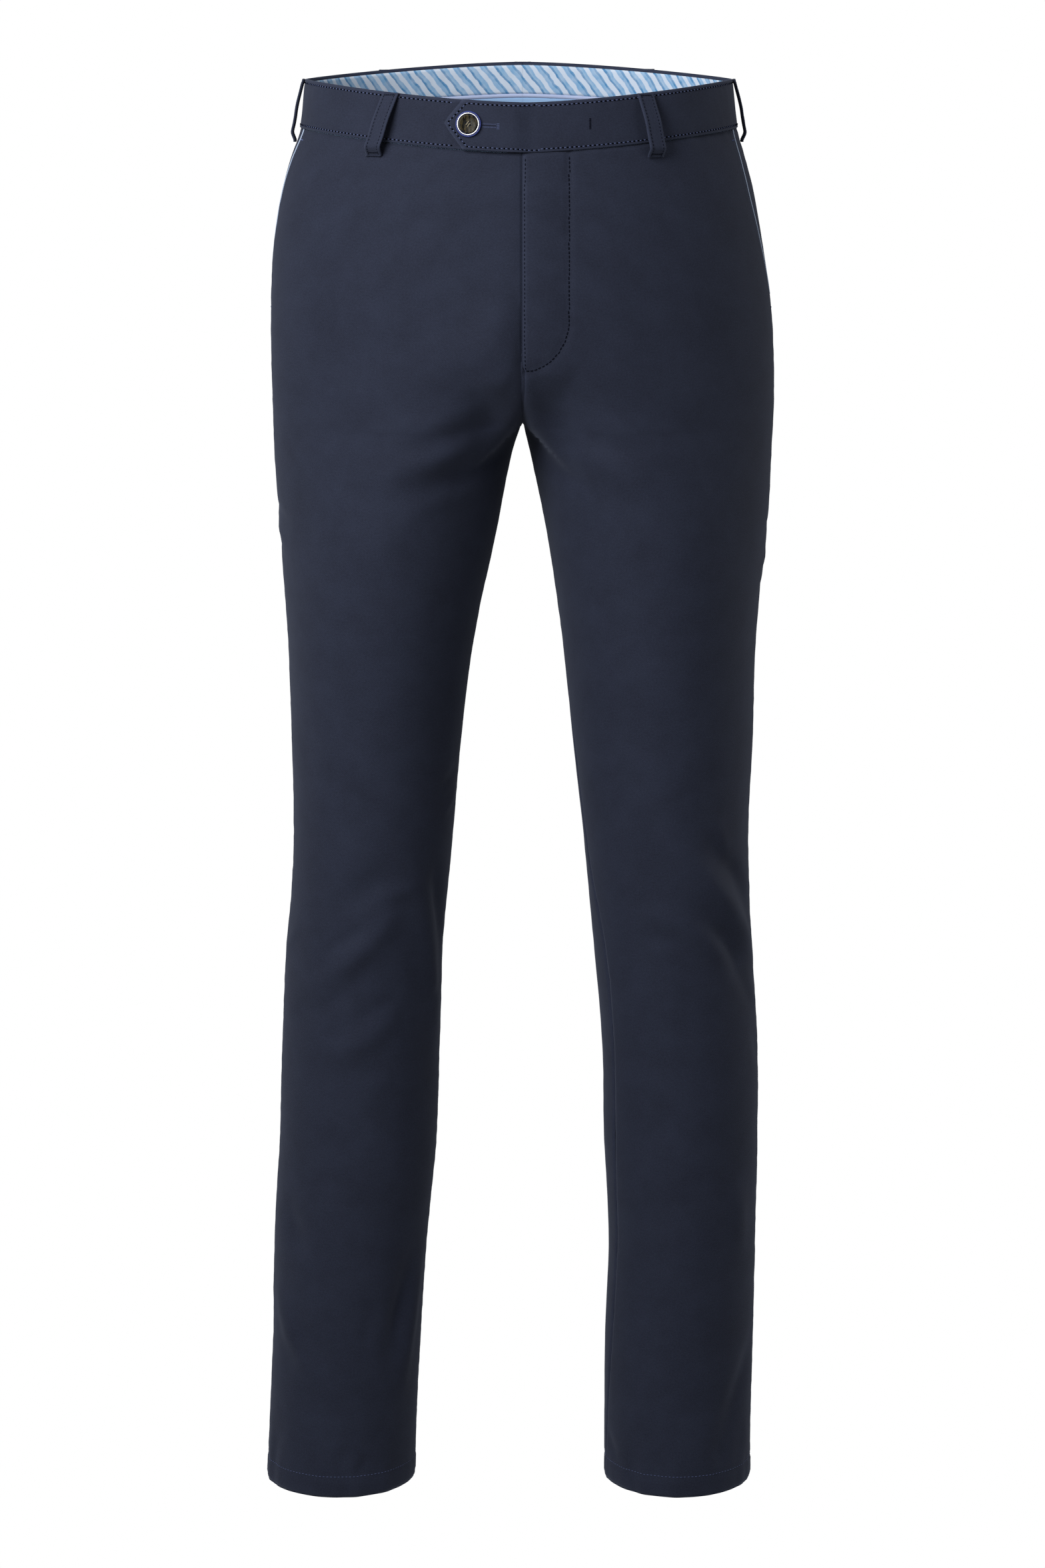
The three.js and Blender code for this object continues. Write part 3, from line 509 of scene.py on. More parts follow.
def add_node(tree, kind, sockets=None, **settings):
    made = tree.nodes.new(kind)
    for key, value in settings.items():
        setattr(made, key, value)
    for key, value in (sockets or {}).items():
        if isinstance(value, bpy.types.NodeSocket):
            tree.links.new(value, made.inputs[key])
        else:
            made.inputs[key].default_value = value
    return made


def start_material(name, roughness, **fixed):
    material = bpy.data.materials.new(name)
    material.use_nodes = True
    shader = material.node_tree.nodes["Principled BSDF"]
    shader.inputs["Roughness"].default_value = roughness
    for key, value in fixed.items():
        shader.inputs[key.replace("_", " ")].default_value = value
    return material, material.node_tree, shader


print("node helpers ready")

# %% Cotton twill, dyed navy
NAVY = "#1e2232"
NAVY_LIGHT = "#2d3346"
# Paler navy for rubbed edges, also laid on raised edges as painted highlight.
NAVY_WORN_AND_LIT = "#5a6483"


WAVE_PERIOD = 0.314  # a wave texture's own period at scale 1
RIB = 0.0011


def make_twill(name, turn):
    """Real twill has a rib every 0.5 mm. It is drawn every 1.1 mm, the finest that shows in the picture."""
    material, tree, shader = start_material(name, 0.86)
    cut = add_node(tree, "ShaderNodeUVMap", uv_map="Cut")
    turned = add_node(tree, "ShaderNodeMapping", {"Vector": cut.outputs[0], "Rotation": (0, 0, turn)})
    ribs = add_node(
        tree,
        "ShaderNodeTexWave",
        {"Vector": turned.outputs[0], "Scale": WAVE_PERIOD / RIB, "Distortion": 1.2, "Detail": 1,
         "Detail Scale": 0.6},
    )
    slub = add_node(tree, "ShaderNodeTexNoise", {"Vector": cut.outputs[0], "Scale": 420, "Detail": 3})
    dye = add_node(
        tree, "ShaderNodeTexNoise", {"Vector": cut.outputs[0], "Scale": 26, "Detail": 5, "Roughness": 0.7}
    )
    # This attribute lifts the colour towards the paler navy: rubbed wear, and painted highlight on raised
    # edges and ridges.
    worn_and_lit = add_node(tree, "ShaderNodeAttribute", attribute_name="wear")
    grain = add_node(tree, "ShaderNodeTexNoise", {"Vector": cut.outputs[0], "Scale": 800, "Detail": 2})
    both = add_node(tree, "ShaderNodeMath", {0: dye.outputs["Fac"], 1: grain.outputs["Fac"]}, operation="ADD")
    even = add_node(tree, "ShaderNodeMapRange", {"Value": both.outputs[0], "From Min": 0.6, "From Max": 1.4})
    dyed = add_node(
        tree, "ShaderNodeMix", {0: even.outputs[0], 6: srgb(NAVY), 7: srgb(NAVY_LIGHT)}, data_type="RGBA"
    )
    shade = add_node(tree, "ShaderNodeMath", {0: ribs.outputs["Fac"], 1: 0.16}, operation="MULTIPLY")
    ribbed = add_node(
        tree, "ShaderNodeMix", {0: shade.outputs[0], 6: dyed.outputs[2], 7: srgb("#141826")}, data_type="RGBA"
    )
    rubbed_and_lit = add_node(
        tree, "ShaderNodeMix",
        {0: worn_and_lit.outputs["Fac"], 6: ribbed.outputs[2], 7: srgb(NAVY_WORN_AND_LIT)}, data_type="RGBA",
    )
    tree.links.new(rubbed_and_lit.outputs[2], shader.inputs["Base Color"])
    height = add_node(
        tree, "ShaderNodeMath", {0: ribs.outputs["Fac"], 1: slub.outputs["Fac"]}, operation="ADD"
    )
    bump = add_node(
        tree, "ShaderNodeBump", {"Height": height.outputs[0], "Strength": 0.25, "Distance": 0.00012}
    )
    tree.links.new(bump.outputs[0], shader.inputs["Normal"])
    shader.inputs["Specular IOR Level"].default_value = 0.25
    shader.inputs["Sheen Weight"].default_value = 0.17
    shader.inputs["Sheen Roughness"].default_value = 0.45
    shader.inputs["Sheen Tint"].default_value = srgb("#b9c4e0")
    return material


twill = make_twill("navy_cotton_twill", math.radians(-52))
twill_band = make_twill("navy_cotton_twill_on_the_band", math.radians(38))
print("twill made")

# %% [markdown]
# The lining inside the waistband is fine poplin with printed stripes, cut on the bias so that they slant. The
# piping, the curtain under it and the pocket edging are plain poplin.


# %% Poplins
def make_poplin(name, colour, deeper):
    material, tree, shader = start_material(name, 0.8)
    cut = add_node(tree, "ShaderNodeUVMap", uv_map="Cut")
    threads = add_node(tree, "ShaderNodeTexNoise", {"Vector": cut.outputs[0], "Scale": 900, "Detail": 2})
    soft = add_node(tree, "ShaderNodeTexNoise", {"Vector": cut.outputs[0], "Scale": 60, "Detail": 3})
    tinted = add_node(
        tree, "ShaderNodeMix", {0: soft.outputs["Fac"], 6: srgb(colour), 7: srgb(deeper)}, data_type="RGBA"
    )
    tree.links.new(tinted.outputs[2], shader.inputs["Base Color"])
    bump = add_node(
        tree, "ShaderNodeBump", {"Height": threads.outputs["Fac"], "Strength": 0.2, "Distance": 0.0001}
    )
    tree.links.new(bump.outputs[0], shader.inputs["Normal"])
    shader.inputs["Specular IOR Level"].default_value = 0.3
    shader.inputs["Sheen Weight"].default_value = 0.15
    return material, tree, shader, cut


STRIPE_TURN = 39
STRIPE_PERIOD = 16.6
STRIPE_GAP = "#d5e2f3"
STRIPE_STOPS = [
    (0.03, STRIPE_GAP), (0.06, "#4585ba"), (0.13, "#5191c4"), (0.16, "#93bcdf"), (0.30, "#80b0da"),
    (0.33, STRIPE_GAP), (0.50, STRIPE_GAP), (0.54, "#7eaeda"), (0.68, "#8db9df"), (0.72, "#4c8cc0"),
    (0.79, "#5f9acb"), (0.82, STRIPE_GAP),
]


def make_striped_poplin():
    """The stripes are printed as if brushed by hand: their edges wander and their colour pools and thins."""
    material, tree, shader, cut = make_poplin("striped_poplin", "#ffffff", "#f2f4fa")
    turn = (0, 0, math.radians(STRIPE_TURN))
    slant = add_node(tree, "ShaderNodeMapping", {"Vector": cut.outputs[0], "Rotation": turn})
    across = add_node(tree, "ShaderNodeSeparateXYZ", {"Vector": slant.outputs[0]})
    wander = add_node(tree, "ShaderNodeTexNoise", {"Vector": cut.outputs[0], "Scale": 95, "Detail": 2})
    count = add_node(
        tree, "ShaderNodeMath", {0: across.outputs[0], 1: 1000 / STRIPE_PERIOD}, operation="MULTIPLY"
    )
    shift = add_node(
        tree, "ShaderNodeMath",
        {0: wander.outputs["Fac"], 1: 0.22, 2: count.outputs[0]}, operation="MULTIPLY_ADD",
    )
    share = add_node(tree, "ShaderNodeMath", {0: shift.outputs[0]}, operation="FRACT")
    ramp = add_node(tree, "ShaderNodeValToRGB", {"Fac": share.outputs[0]})
    stops = ramp.color_ramp.elements
    stops[0].position, stops[0].color = 0, srgb(STRIPE_GAP)
    stops[1].position, stops[1].color = 1, srgb(STRIPE_GAP)
    for position, colour in STRIPE_STOPS:
        stop = stops.new(position)
        stop.color = srgb(colour)
    pools = add_node(tree, "ShaderNodeTexNoise", {"Vector": slant.outputs[0], "Scale": 170, "Detail": 2})
    thin = add_node(
        tree, "ShaderNodeMapRange",
        {"Value": pools.outputs["Fac"], "From Min": 0.35, "From Max": 0.75, "To Min": 0.0, "To Max": 0.42},
    )
    faded = add_node(
        tree, "ShaderNodeMix",
        {0: thin.outputs[0], 6: ramp.outputs["Color"], 7: srgb(STRIPE_GAP)}, data_type="RGBA",
    )
    tree.links.new(faded.outputs[2], shader.inputs["Base Color"])
    return material


striped = make_striped_poplin()
piping_poplin = make_poplin("lavender_poplin", "#bcc8e6", "#aebbdf")[0]
curtain_poplin = make_poplin("light_blue_poplin", "#9cbfe6", "#8fb4dd")[0]
edging_poplin = make_poplin("pale_blue_edging", "#b7c6dd", "#a5b6d1")[0]
print("poplins made")

# %% [markdown]
# Sewing thread is polyester: smoother than the cloth, so each light stitch catches a small light. The navy
# thread comes in two copies: a paler one with painted sheen, and a near-black one with painted shade for the
# stitches that lie in shadow, on the fly, the loops and the tacks. Cloth this dark gives back only a fiftieth
# of the light, less than a shiny surface does, so the shaded copy is kept matt.

# %% Threads, metal, plastic and horn


def make_mottled(name, roughness, colour, other, scale, detail, **fixed):
    """A finish that wavers between two close colours from place to place."""
    material, tree, shader = start_material(name, roughness, **fixed)
    place = add_node(tree, "ShaderNodeTexCoord")
    marks = add_node(
        tree, "ShaderNodeTexNoise", {"Vector": place.outputs["Object"], "Scale": scale, "Detail": detail}
    )
    tint = add_node(tree, "ShaderNodeMix", {0: marks.outputs["Fac"], 6: colour, 7: other}, data_type="RGBA")
    tree.links.new(tint.outputs[2], shader.inputs["Base Color"])
    return material


def make_thread(name, code, shine=0.3):
    colour = srgb(code)
    darker = [0.8 * v for v in colour[:3]] + [1]
    return make_mottled(name, 0.6, colour, darker, 2500, 1, Specular_IOR_Level=shine)


# A paler copy of the navy thread with painted sheen, and a near-black copy with painted shade.
lit_navy_thread = make_thread("navy_polyester_thread_painted_lit", "#59648c")
shaded_navy_thread = make_thread("navy_polyester_thread_painted_in_shade", "#0b0e1a", 0.05)
hole_shade = make_thread("shadow_in_a_needle_hole", "#06070c", 0.0)
blue_thread = make_thread("bright_navy_thread", "#2c3b7c")
white_thread = make_thread("white_polyester_thread", "#e8eaf0")
beige_thread = make_thread("beige_polyester_thread", "#9c937c")


def make_horn():
    """Horn is layered like wood, so its streaks run one way: they are noise that is stretched upright."""
    material, tree, shader = start_material("polished_buffalo_horn", 0.35, Specular_IOR_Level=0.1)
    place = add_node(tree, "ShaderNodeTexCoord")
    tall = add_node(tree, "ShaderNodeMapping", {"Vector": place.outputs["Object"], "Scale": (430, 300, 90)})
    streak = add_node(
        tree, "ShaderNodeTexNoise", {"Vector": tall.outputs[0], "Scale": 1, "Detail": 4, "Roughness": 0.65}
    )
    ramp = add_node(tree, "ShaderNodeValToRGB", {"Fac": streak.outputs["Fac"]})
    stops = ramp.color_ramp.elements
    stops[0].position, stops[0].color = 0.40, srgb("#060605")
    stops[1].position, stops[1].color = 0.64, srgb("#5a5a52")
    for position, colour in ((0.45, "#15120c"), (0.50, "#4a4128"), (0.55, "#1b1c1e")):
        stop = stops.new(position)
        stop.color = srgb(colour)
    tree.links.new(ramp.outputs["Color"], shader.inputs["Base Color"])
    return material


chrome = make_mottled("satin_chrome_plate", 0.38, srgb("#e6e7ea"), srgb("#d2d4da"), 900, 3, Metallic=1.0)
rim_resin = make_mottled("dark_blue_polyester_resin", 0.28, srgb("#2c3a86"), srgb("#43509a"), 260, 2)
horn = make_horn()
# The zip's two parts keep the solids' shapes, which have no cut, so their finish is laid on by place too.
zip_cloth = make_mottled("woven_zip_tape", 0.85, srgb("#20253a"), srgb("#2a3048"), 1500, 3)
zip_metal = make_mottled("antique_nickel", 0.34, srgb("#8b8780"), srgb("#a5a199"), 700, 3, Metallic=1.0)
for part, finish in (("zip_tape", zip_cloth), ("zip_slider", zip_metal)):
    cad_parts[part].data.materials.clear()
    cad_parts[part].data.materials.append(finish)
print(len(bpy.data.materials), "materials")

# %% [markdown]
# ## The legs' four panels
#
# Each leg is a front and a back, sewn at the side seam and the inseam and to each other at the centre. At a
# seam the cloth rolls in to the stitches and puckers a little on both sides, because the thread pulls. That
# is what makes a seam show on plain cloth, so it is built into the shell.

# %% Seams and hems as a push along the cloth's normal
PANEL_TOP = -BAND_HEIGHT - GAP
ROWS = 318
CROTCH_ROWS = [8.2, 5.1, 3.2, 1.9, 1.0, 0.4, 0.1, 0]  # more rows, this far above the crotch
HEM_STITCH = HEM + 17
FLY_WIDTH = 34
FLY_CURVE_TOP = -172
FLY_END = -210


def edge_shares(count, length):
    """Shares from 0 to 1, closer together in the last millimetres at both edges, where the seams roll."""
    near = np.array([0, 0.5, 1.1, 1.9, 3.0, 4.6, 6.8]) / length
    return np.concatenate([near[:-1], np.linspace(near[-1], 1 - near[-1], count), 1 - near[:-1][::-1]])


def seam_roll(distance, depth=0.9):
    return -depth * hump(distance, 1.5)


def seam_pucker(distance, along, seed):
    return 0.22 * waves(along, 0 * along, 9, seed) * hump(distance - 2.5, 5)


def hem_form(run, level, seed):
    below = ease(-level, -HEM_STITCH - 0.5, -HEM_STITCH + 2.5)
    ripple = waves(run, 0 * run, 17, seed) * ease(-level, -HEM - 62, -HEM - 8)
    pucker = waves(run, 0.6 * level, 7, seed + 1) * hump(level - HEM_STITCH, 7)
    stitched = 0.4 * hump(level - HEM_STITCH, 1.4)
    rolled = 0.8 * hump(level - HEM, 1.6)
    return 0.25 * below - stitched + 0.75 * ripple + 0.22 * pucker - rolled


def fly_offset(x, level):
    """How far a place on the front is from the fly's J stitching, in millimetres, negative inside it."""
    straight = x - FLY_WIDTH
    tall = (level - FLY_CURVE_TOP) / (FLY_CURVE_TOP - FLY_END)
    curved = (np.hypot(x / FLY_WIDTH, tall) - 1) * FLY_WIDTH
    return np.where(level > FLY_CURVE_TOP, straight, curved)


def fly_form(side, x, level):
    """The left front lies over the right one down to the fly's foot, with the fly's facing under it."""
    if side < 0:
        return -0.5 * hump(x, 4) * ease(level, FLY_END - 6, FLY_END + 8)
    off = fly_offset(x, level)
    raised = 0.55 * (1 - ease(off, -1, 3)) + 1.3 * hump(x - 8, 13) * ease(-level, 40, 80)
    placket = raised * ease(level, FLY_END - 8, FLY_END + 8)
    pull = waves(level + 0.5 * x, 0.8 * x, 9, 71) * hump(off + 2, 7) * 0.5
    above_foot = ease(level, FLY_END - 8, FLY_END + 2)
    inner = waves(level, 0.4 * x, 15, 72) * (1 - ease(off, -6, 0)) * 0.45 * above_foot
    lip = 0.25 * hump(x, 4) * ease(level, FLY_END - 2, FLY_END + 6)
    groove = 1.1 * hump(off + 0.3, 1.6)
    hollow = 0.7 * hump(off + 3, 7) * (1 - ease(off, 0, 3))
    return placket - groove - hollow + pull + inner + lip


print("fly stitching at", FLY_WIDTH, "mm from the centre")

# %% Build a panel
COLUMNS = 78
PANEL_WIDTH = 205  # a typical one


def panel_edges(side, face, level):
    shift = np.degrees(GAP / 2 / (SEAM_DEPTH * (back_line(level) - front_line(level))))
    turn = np.where((side > 0) & (level < PINCH_END), inseam_turn(level), 0)
    shift_end = np.where(level < PINCH_END, shift, 0)
    if face > 0:
        ahead = np.where(level > POCKET_END, girth_ahead(mouth_ahead(side, level), level), 0)
        return ahead + shift, 180 - turn - shift_end
    return -shift, -(180 + turn - shift_end)


def panel_surface(side, face):
    level = np.concatenate([np.linspace(PANEL_TOP, HEM, ROWS), CROTCH + np.array(CROTCH_ROWS)])
    level = np.unique(level)[::-1]
    share = edge_shares(COLUMNS, PANEL_WIDTH)
    start, end = panel_edges(side, face, level)
    girth = mix(start[:, None], end[:, None], share[None, :])
    level = np.broadcast_to(level[:, None], girth.shape).copy()
    at, normal = surface(side, girth, level)
    wedge = (level <= CROTCH) & (level >= PINCH_END) & (np.abs(girth) > 179.999)
    at[..., 1] -= np.where(wedge, np.sign(girth) * GAP / 2, 0)
    begun = ease(CROTCH - level, 0, 14) * WEDGE_STRETCH
    straight_in = np.stack([-side * begun, 0 * begun, 0 * begun], -1)
    normal = np.where(wedge[..., None], straight_in, normal)
    return girth, level, at, normal


def build_panel(side, face, name, node, seed):
    girth, level, at, normal = panel_surface(side, face)
    run = arc(at, 1)
    from_side, from_end = run, run[:, -1:] - run
    x = at[..., 0] * side
    out = seam_roll(from_side) + seam_roll(from_end)
    out += seam_pucker(from_side, level, seed) + seam_pucker(from_end, level, seed + 1)
    out += 0.28 * waves(run, level, 55, seed + 2) + 0.12 * waves(run, level, 21, seed + 3)
    out += hem_form(run, level, seed + 4)
    gathers = 0.5 * waves(run, 0 * run, 16, seed + 6) * hump(level - PANEL_TOP, 7)
    out += gathers - 0.5 * hump(level - PANEL_TOP, 1.5)
    # Paler at the hem's fold, along the seams, the pocket mouths and the fly's edge: rubbed wear, and painted
    # highlight where these raised edges catch the light.
    wear = 0.16 * hump(level - HEM, 2.5) + 0.1 * hump(from_side - 1.6, 1.6) + 0.06 * hump(from_end - 1.6, 1.6)
    if face > 0:
        mouth = ease(level, POCKET_END, POCKET_END + 25)
        out += fly_form(side, x, level)
        out += 0.4 * hump(from_side - 2.5, 3) * mouth
        wear += 0.15 * hump(from_side - 0.8, 1.6) * mouth
        if side > 0:
            wear += 0.03 * hump(from_end - 0.5, 0.5) * ease(level, FLY_END - 4, FLY_END + 4)
    else:
        dart = ease(level, -92, -70) * hump(x - 98, 1.6)
        out -= 0.7 * dart
    points = at + normal * out[..., None]
    # The two halves meet along the centre seam, whatever the seam's roll does to their normals there.
    points[:, -1, 0] = np.where(level[:, -1] > CROTCH, -side * 0.1, points[:, -1, 0])
    return cloth_piece(name, points, normal, twill, node, CLOTH - 0.2, wear=np.clip(wear, 0, 1))


WORD = {-1: "right", 1: "left"}
panels = {}
for side in (-1, 1):
    for face, face_word, seed in ((1, "front", 10), (-1, "back", 30)):
        node = f"{face_word}_{WORD[side]}"
        name = f"cloth_{node}"
        panels[side, face] = build_panel(side, face, name, node, seed + 100 * (side > 0))
        print(name, len(panels[side, face].data.polygons), "faces")

# %% [markdown]
# ## Hems
#
# The cloth is turned up inside and stitched 17 mm above the fold. Seen from below, it comes round from the
# panel's edge in one soft turn and lies just inside.

# %% The turned cloth inside each hem
HEM_PATH = [(-0.3, 0.6), (-0.9, 0.05), (-1.7, 0.0), (-2.3, 0.7), (-2.4, 3), (-2.3, 9), (-2.3, 16), (-2.5, 17)]


def build_hem(side, seed):
    out = np.array([row[0] for row in HEM_PATH])[:, None]
    level = HEM + np.array([row[1] for row in HEM_PATH])[:, None]
    girth = np.linspace(-180, 180, 181)[None, :]
    girth, level, out = np.broadcast_arrays(girth, level, out)
    at, normal = surface(side, girth, level)
    normal[:, -1] = normal[:, 0]
    run = arc(at, 1)
    swell = 0.5 * waves(50 * np.cos(np.radians(girth)), 50 * np.sin(np.radians(girth)), 17, seed)
    points = at + normal * (out + swell * 0.6)[..., None]
    points[:, -1] = points[:, 0]
    name = f"cloth_hem_{WORD[side]}"
    # Paler at the fold: rubbed wear and painted highlight.
    wear = 0.1 * hump(level - HEM, 1.2)
    cloth_piece(name, points, -normal, twill, f"hem_{WORD[side]}", 0.9, closed=True, wear=wear)
    print(name, "is", round(float(run[0, -1])), "mm round")


for side in (-1, 1):
    build_hem(side, 80 + side)

# %% [markdown]
# ## Waistband
#
# The band is a folded strip, stiffened inside, so its top edge is round and its face is flat with a shallow
# quilted look between the two rows of stitches. Its section is drawn once as a loop, and the loop is carried
# round the waist. The left half goes on past the centre front as the pointed tab.

# %% The band's section and its run
BAND_SECTION = [
    (-0.5, -36.0), (-0.05, -35.6), (0.05, -34.9), (-0.35, -33.6), (-0.05, -32.2), (0.08, -28), (0.12, -23),
    (0.14, -18), (0.12, -13), (0.08, -8), (-0.05, -4.4), (-0.32, -2.9), (0.02, -1.7), (-0.1, -0.8),
    (-0.6, -0.15), (-1.3, 0.05), (-2.0, -0.15), (-2.5, -0.8), (-2.6, -2), (-2.6, -10), (-2.6, -18),
    (-2.6, -27), (-2.6, -35), (-2.1, -35.8), (-1.3, -36.0), (-0.5, -36.0),
]
BAND_COLUMNS = 330
TAB_CORNER = 43
TAB_TIP = 57
LAP_START = 9
LAP_END = -6
TAB_LIFT = BAND_THICK + GAP


def band_girths(count, front_x, side):
    return np.linspace(-180, float(girth_at(side, 1, front_x, 0)), count)


def band_form(side, girth, level, out, seed):
    at, normal = surface(side, girth, level)
    run = arc(at, 1)
    face = ease(-level, 1, 4) * (1 - ease(-level, 31, 34))
    outer = out > BAND_PROUD - 1
    quilt = 0.16 * waves(run, 0.7 * level, 11, seed) + 0.22 * waves(run, level, 40, seed + 1)
    top_pull = 0.16 * waves(run, 0 * run, 7, seed + 4) * hump(level + 4, 3)
    low_pull = 0.2 * waves(run, 0 * run, 8, seed + 5) * hump(level + 32, 4)
    swell = np.where(outer, quilt * face + top_pull + low_pull, 0)
    # Painted highlight and rubbed wear on the band's round top edge and along its lower edge; the inner face
    # is a little paler throughout.
    wear = np.where(outer, 0.1 * hump(level + 0.6, 1.6) + 0.04 * hump(level + 35.3, 0.8), 0.12)
    return at + normal * (out + swell)[..., None], normal, wear


def close_ends(mesh):
    """Closes the open ends of a carried section, and joins the section's first and last rows."""
    tube = bmesh.new()
    tube.from_mesh(mesh)
    bmesh.ops.remove_doubles(tube, verts=tube.verts, dist=2e-6)
    rim = [edge for edge in tube.edges if edge.is_boundary]
    bmesh.ops.holes_fill(tube, edges=rim, sides=0)
    bmesh.ops.recalc_face_normals(tube, faces=tube.faces)
    tube.to_mesh(mesh)
    tube.free()


def carried_piece(name, points, outward, material, node, wear):
    """A folded strip, made as a closed section that is carried along its run."""
    mesh = grid_mesh(name, points, outward, wear=wear)
    close_ends(mesh)
    return place_piece(name, mesh, material, [node])


section_out = np.array([row[0] for row in BAND_SECTION])[:, None] + BAND_PROUD
section_level = np.array([float(row[1]) for row in BAND_SECTION])[:, None]


def build_right_band():
    girth = band_girths(BAND_COLUMNS, LAP_END, -1)[None, :]
    girth, level, out = np.broadcast_arrays(girth, section_level, section_out)
    points, normal, wear = band_form(-1, girth, level, out, 201)
    return carried_piece("cloth_waistband_right", points, normal, twill_band, "waistband_right", wear)


def tab_reach(level):
    """How far past its corners the pointed tab reaches at this level."""
    off = (level + BAND_HEIGHT / 2) / (BAND_HEIGHT / 2)
    return (TAB_TIP - TAB_CORNER) * (1 - np.sqrt(np.clip(off * off + 0.004, 0, 1)))


def build_left_band():
    half = band_girths(BAND_COLUMNS, LAP_START, 1)[None, :]
    half, level_half, out_half = np.broadcast_arrays(half, section_level, section_out)
    straight = np.linspace(LAP_START, -TAB_CORNER + 3, 60)[1:]
    lap_x = np.concatenate([straight, np.linspace(-TAB_CORNER + 2, -TAB_CORNER, 6)])
    lap_x, level_lap, out_lap = np.broadcast_arrays(lap_x[None, :], section_level, section_out)
    under = np.where(out_lap < BAND_PROUD - 2, 2.4, 0) * ease(-lap_x, TAB_CORNER - 6, TAB_CORNER)
    pointed = lap_x - tab_reach(level_lap) * ease(-lap_x, 26, TAB_CORNER) + under
    lap_side = np.where(pointed >= 0, 1.0, -1.0)
    lap_girth = girth_at(lap_side, 1, pointed, level_lap)
    side = np.concatenate([np.ones_like(half), lap_side], 1)
    girth = np.concatenate([half, lap_girth], 1)
    level = np.concatenate([level_half, level_lap], 1)
    lifted = TAB_LIFT * ease(-lap_x, -LAP_START, -LAP_END + 2)
    lift = np.concatenate([np.zeros(half.shape), lifted], 1)
    out = np.concatenate([out_half, out_lap], 1)
    points, normal, wear = band_form(side, girth, level, out, 211)
    end = np.concatenate([np.zeros(half.shape), hump(lap_x + TAB_CORNER, 2.2)], 1)
    rounding = 0.5 * end
    move = lift - rounding * (out > BAND_PROUD - 1) + rounding * (out < BAND_PROUD - 2)
    points = points + normal * move[..., None]
    # Painted highlight on the tab's raised end, with rubbed wear.
    wear = np.clip(wear + 0.14 * end, 0, 1)
    return carried_piece("cloth_waistband_left", points, normal, twill_band, "waistband_left", wear)


bands = {-1: build_right_band(), 1: build_left_band()}
print("waistband's height", BAND_HEIGHT, "mm, tab's point at x", -TAB_TIP)

# %% [markdown]
# ## Inside the waistband
#
# Three strips hang on the band's inner side: the striped lining, a rolled piping, and the plain curtain that
# covers the raw edges and falls free. The curtain is only held at its top, so it waves.

# %% Lining, piping and curtain
INSIDE = BAND_PROUD - BAND_THICK - GAP
LINING_BELOW = 2.2
LINING_HEIGHT = 22
PIPING_TOP = -LINING_BELOW - LINING_HEIGHT - GAP
PIPING_HEIGHT = 2.2
CURTAIN_TOP = PIPING_TOP - PIPING_HEIGHT - GAP
CURTAIN_HEIGHT = 26
LINING_FRONT = {-1: 12, 1: 38}


def inside_strip(side, kind, name, top, height, rows, thick, material, slot, bulge):
    girth = np.linspace(-180, float(girth_at(side, 1, LINING_FRONT[side], 0)), 300)[None, :]
    share = np.linspace(0, 1, rows)[:, None]
    girth, share = np.broadcast_arrays(girth, share)
    level = top - height * share
    at, normal = surface(side, girth, level)
    run = arc(at, 1)
    out = INSIDE + bulge(run, share)
    points = at + normal * out[..., None]
    points[:, 0, 0] = -side * 0.1
    word = WORD[side]
    return cloth_piece(
        f"{name}_{word}", points, normal, material, f"band_{kind}_{word}", thick, slot, run_sign=side
    )


def lining_bulge(run, share):
    held = np.minimum(share, 1 - share)
    return -0.35 * ease(held, 0, 0.2) + 0.15 * waves(run, 12 * share, 9, 301) * ease(held, 0, 0.1)


def piping_bulge(run, share):
    return -0.9 * np.sin(np.pi * share) ** 0.6


def curtain_bulge(run, share):
    return -2.6 * ease(share, 0, 0.5) - 0.2 + 0.9 * waves(run, 0 * run, 34, 303) * ease(share, 0.15, 1)


# Each row: kind, name, top, height, rows of points, thickness, material, slot, bulge.
STRIPS = [
    ("lining", "striped_lining", -LINING_BELOW, LINING_HEIGHT, 12, 0.6, striped, "striped_lining",
     lining_bulge),
    ("piping", "rolled_piping", PIPING_TOP, PIPING_HEIGHT, 7, 0.7, piping_poplin, "piping", piping_bulge),
    ("curtain", "curtain", CURTAIN_TOP, CURTAIN_HEIGHT, 16, 0.5, curtain_poplin, "curtain", curtain_bulge),
]
inside = {(strip[0], side): inside_strip(side, *strip) for side in (-1, 1) for strip in STRIPS}
print("inside strips", sorted(piece.name for piece in inside.values()))

# %% [markdown]
# ## Slant pockets, fly facing and back pockets
#
# A slant pocket's mouth is the front panel's own folded edge. Under it lies the facing, a piece of the same
# twill that goes on to the side seam, and a narrow light edging lines the mouth. The fly facing goes up
# behind the band, or light would show between them.

# %% Pocket facings and edgings


def build_facing(side):
    word = WORD[side]
    level = np.linspace(PANEL_TOP, POCKET_END, 60)[:, None]
    mouth = girth_ahead(mouth_ahead(side, level), level)
    share = np.linspace(0, 1, 30)[None, :]
    girth = mix(-1.1, mouth + 9, share)
    girth, level = np.broadcast_arrays(girth, level)
    at, normal = surface(side, girth, level)
    run = arc(at, 1)
    under = ease((girth - mouth) * 1.4, -4.2, -1.5)
    rise = -0.25 - (CLOTH + GAP - 0.25) * np.maximum(under, ease(-girth, 0.2, 1.1))
    out = rise - 0.3 * hump(run - 1.5, 1.5) + 0.15 * waves(run, level, 26, 401 + side)
    points = at + normal * out[..., None]
    cloth_piece(f"pocket_facing_cloth_{word}", points, normal, twill, f"pocket_facing_{word}", 1.0)


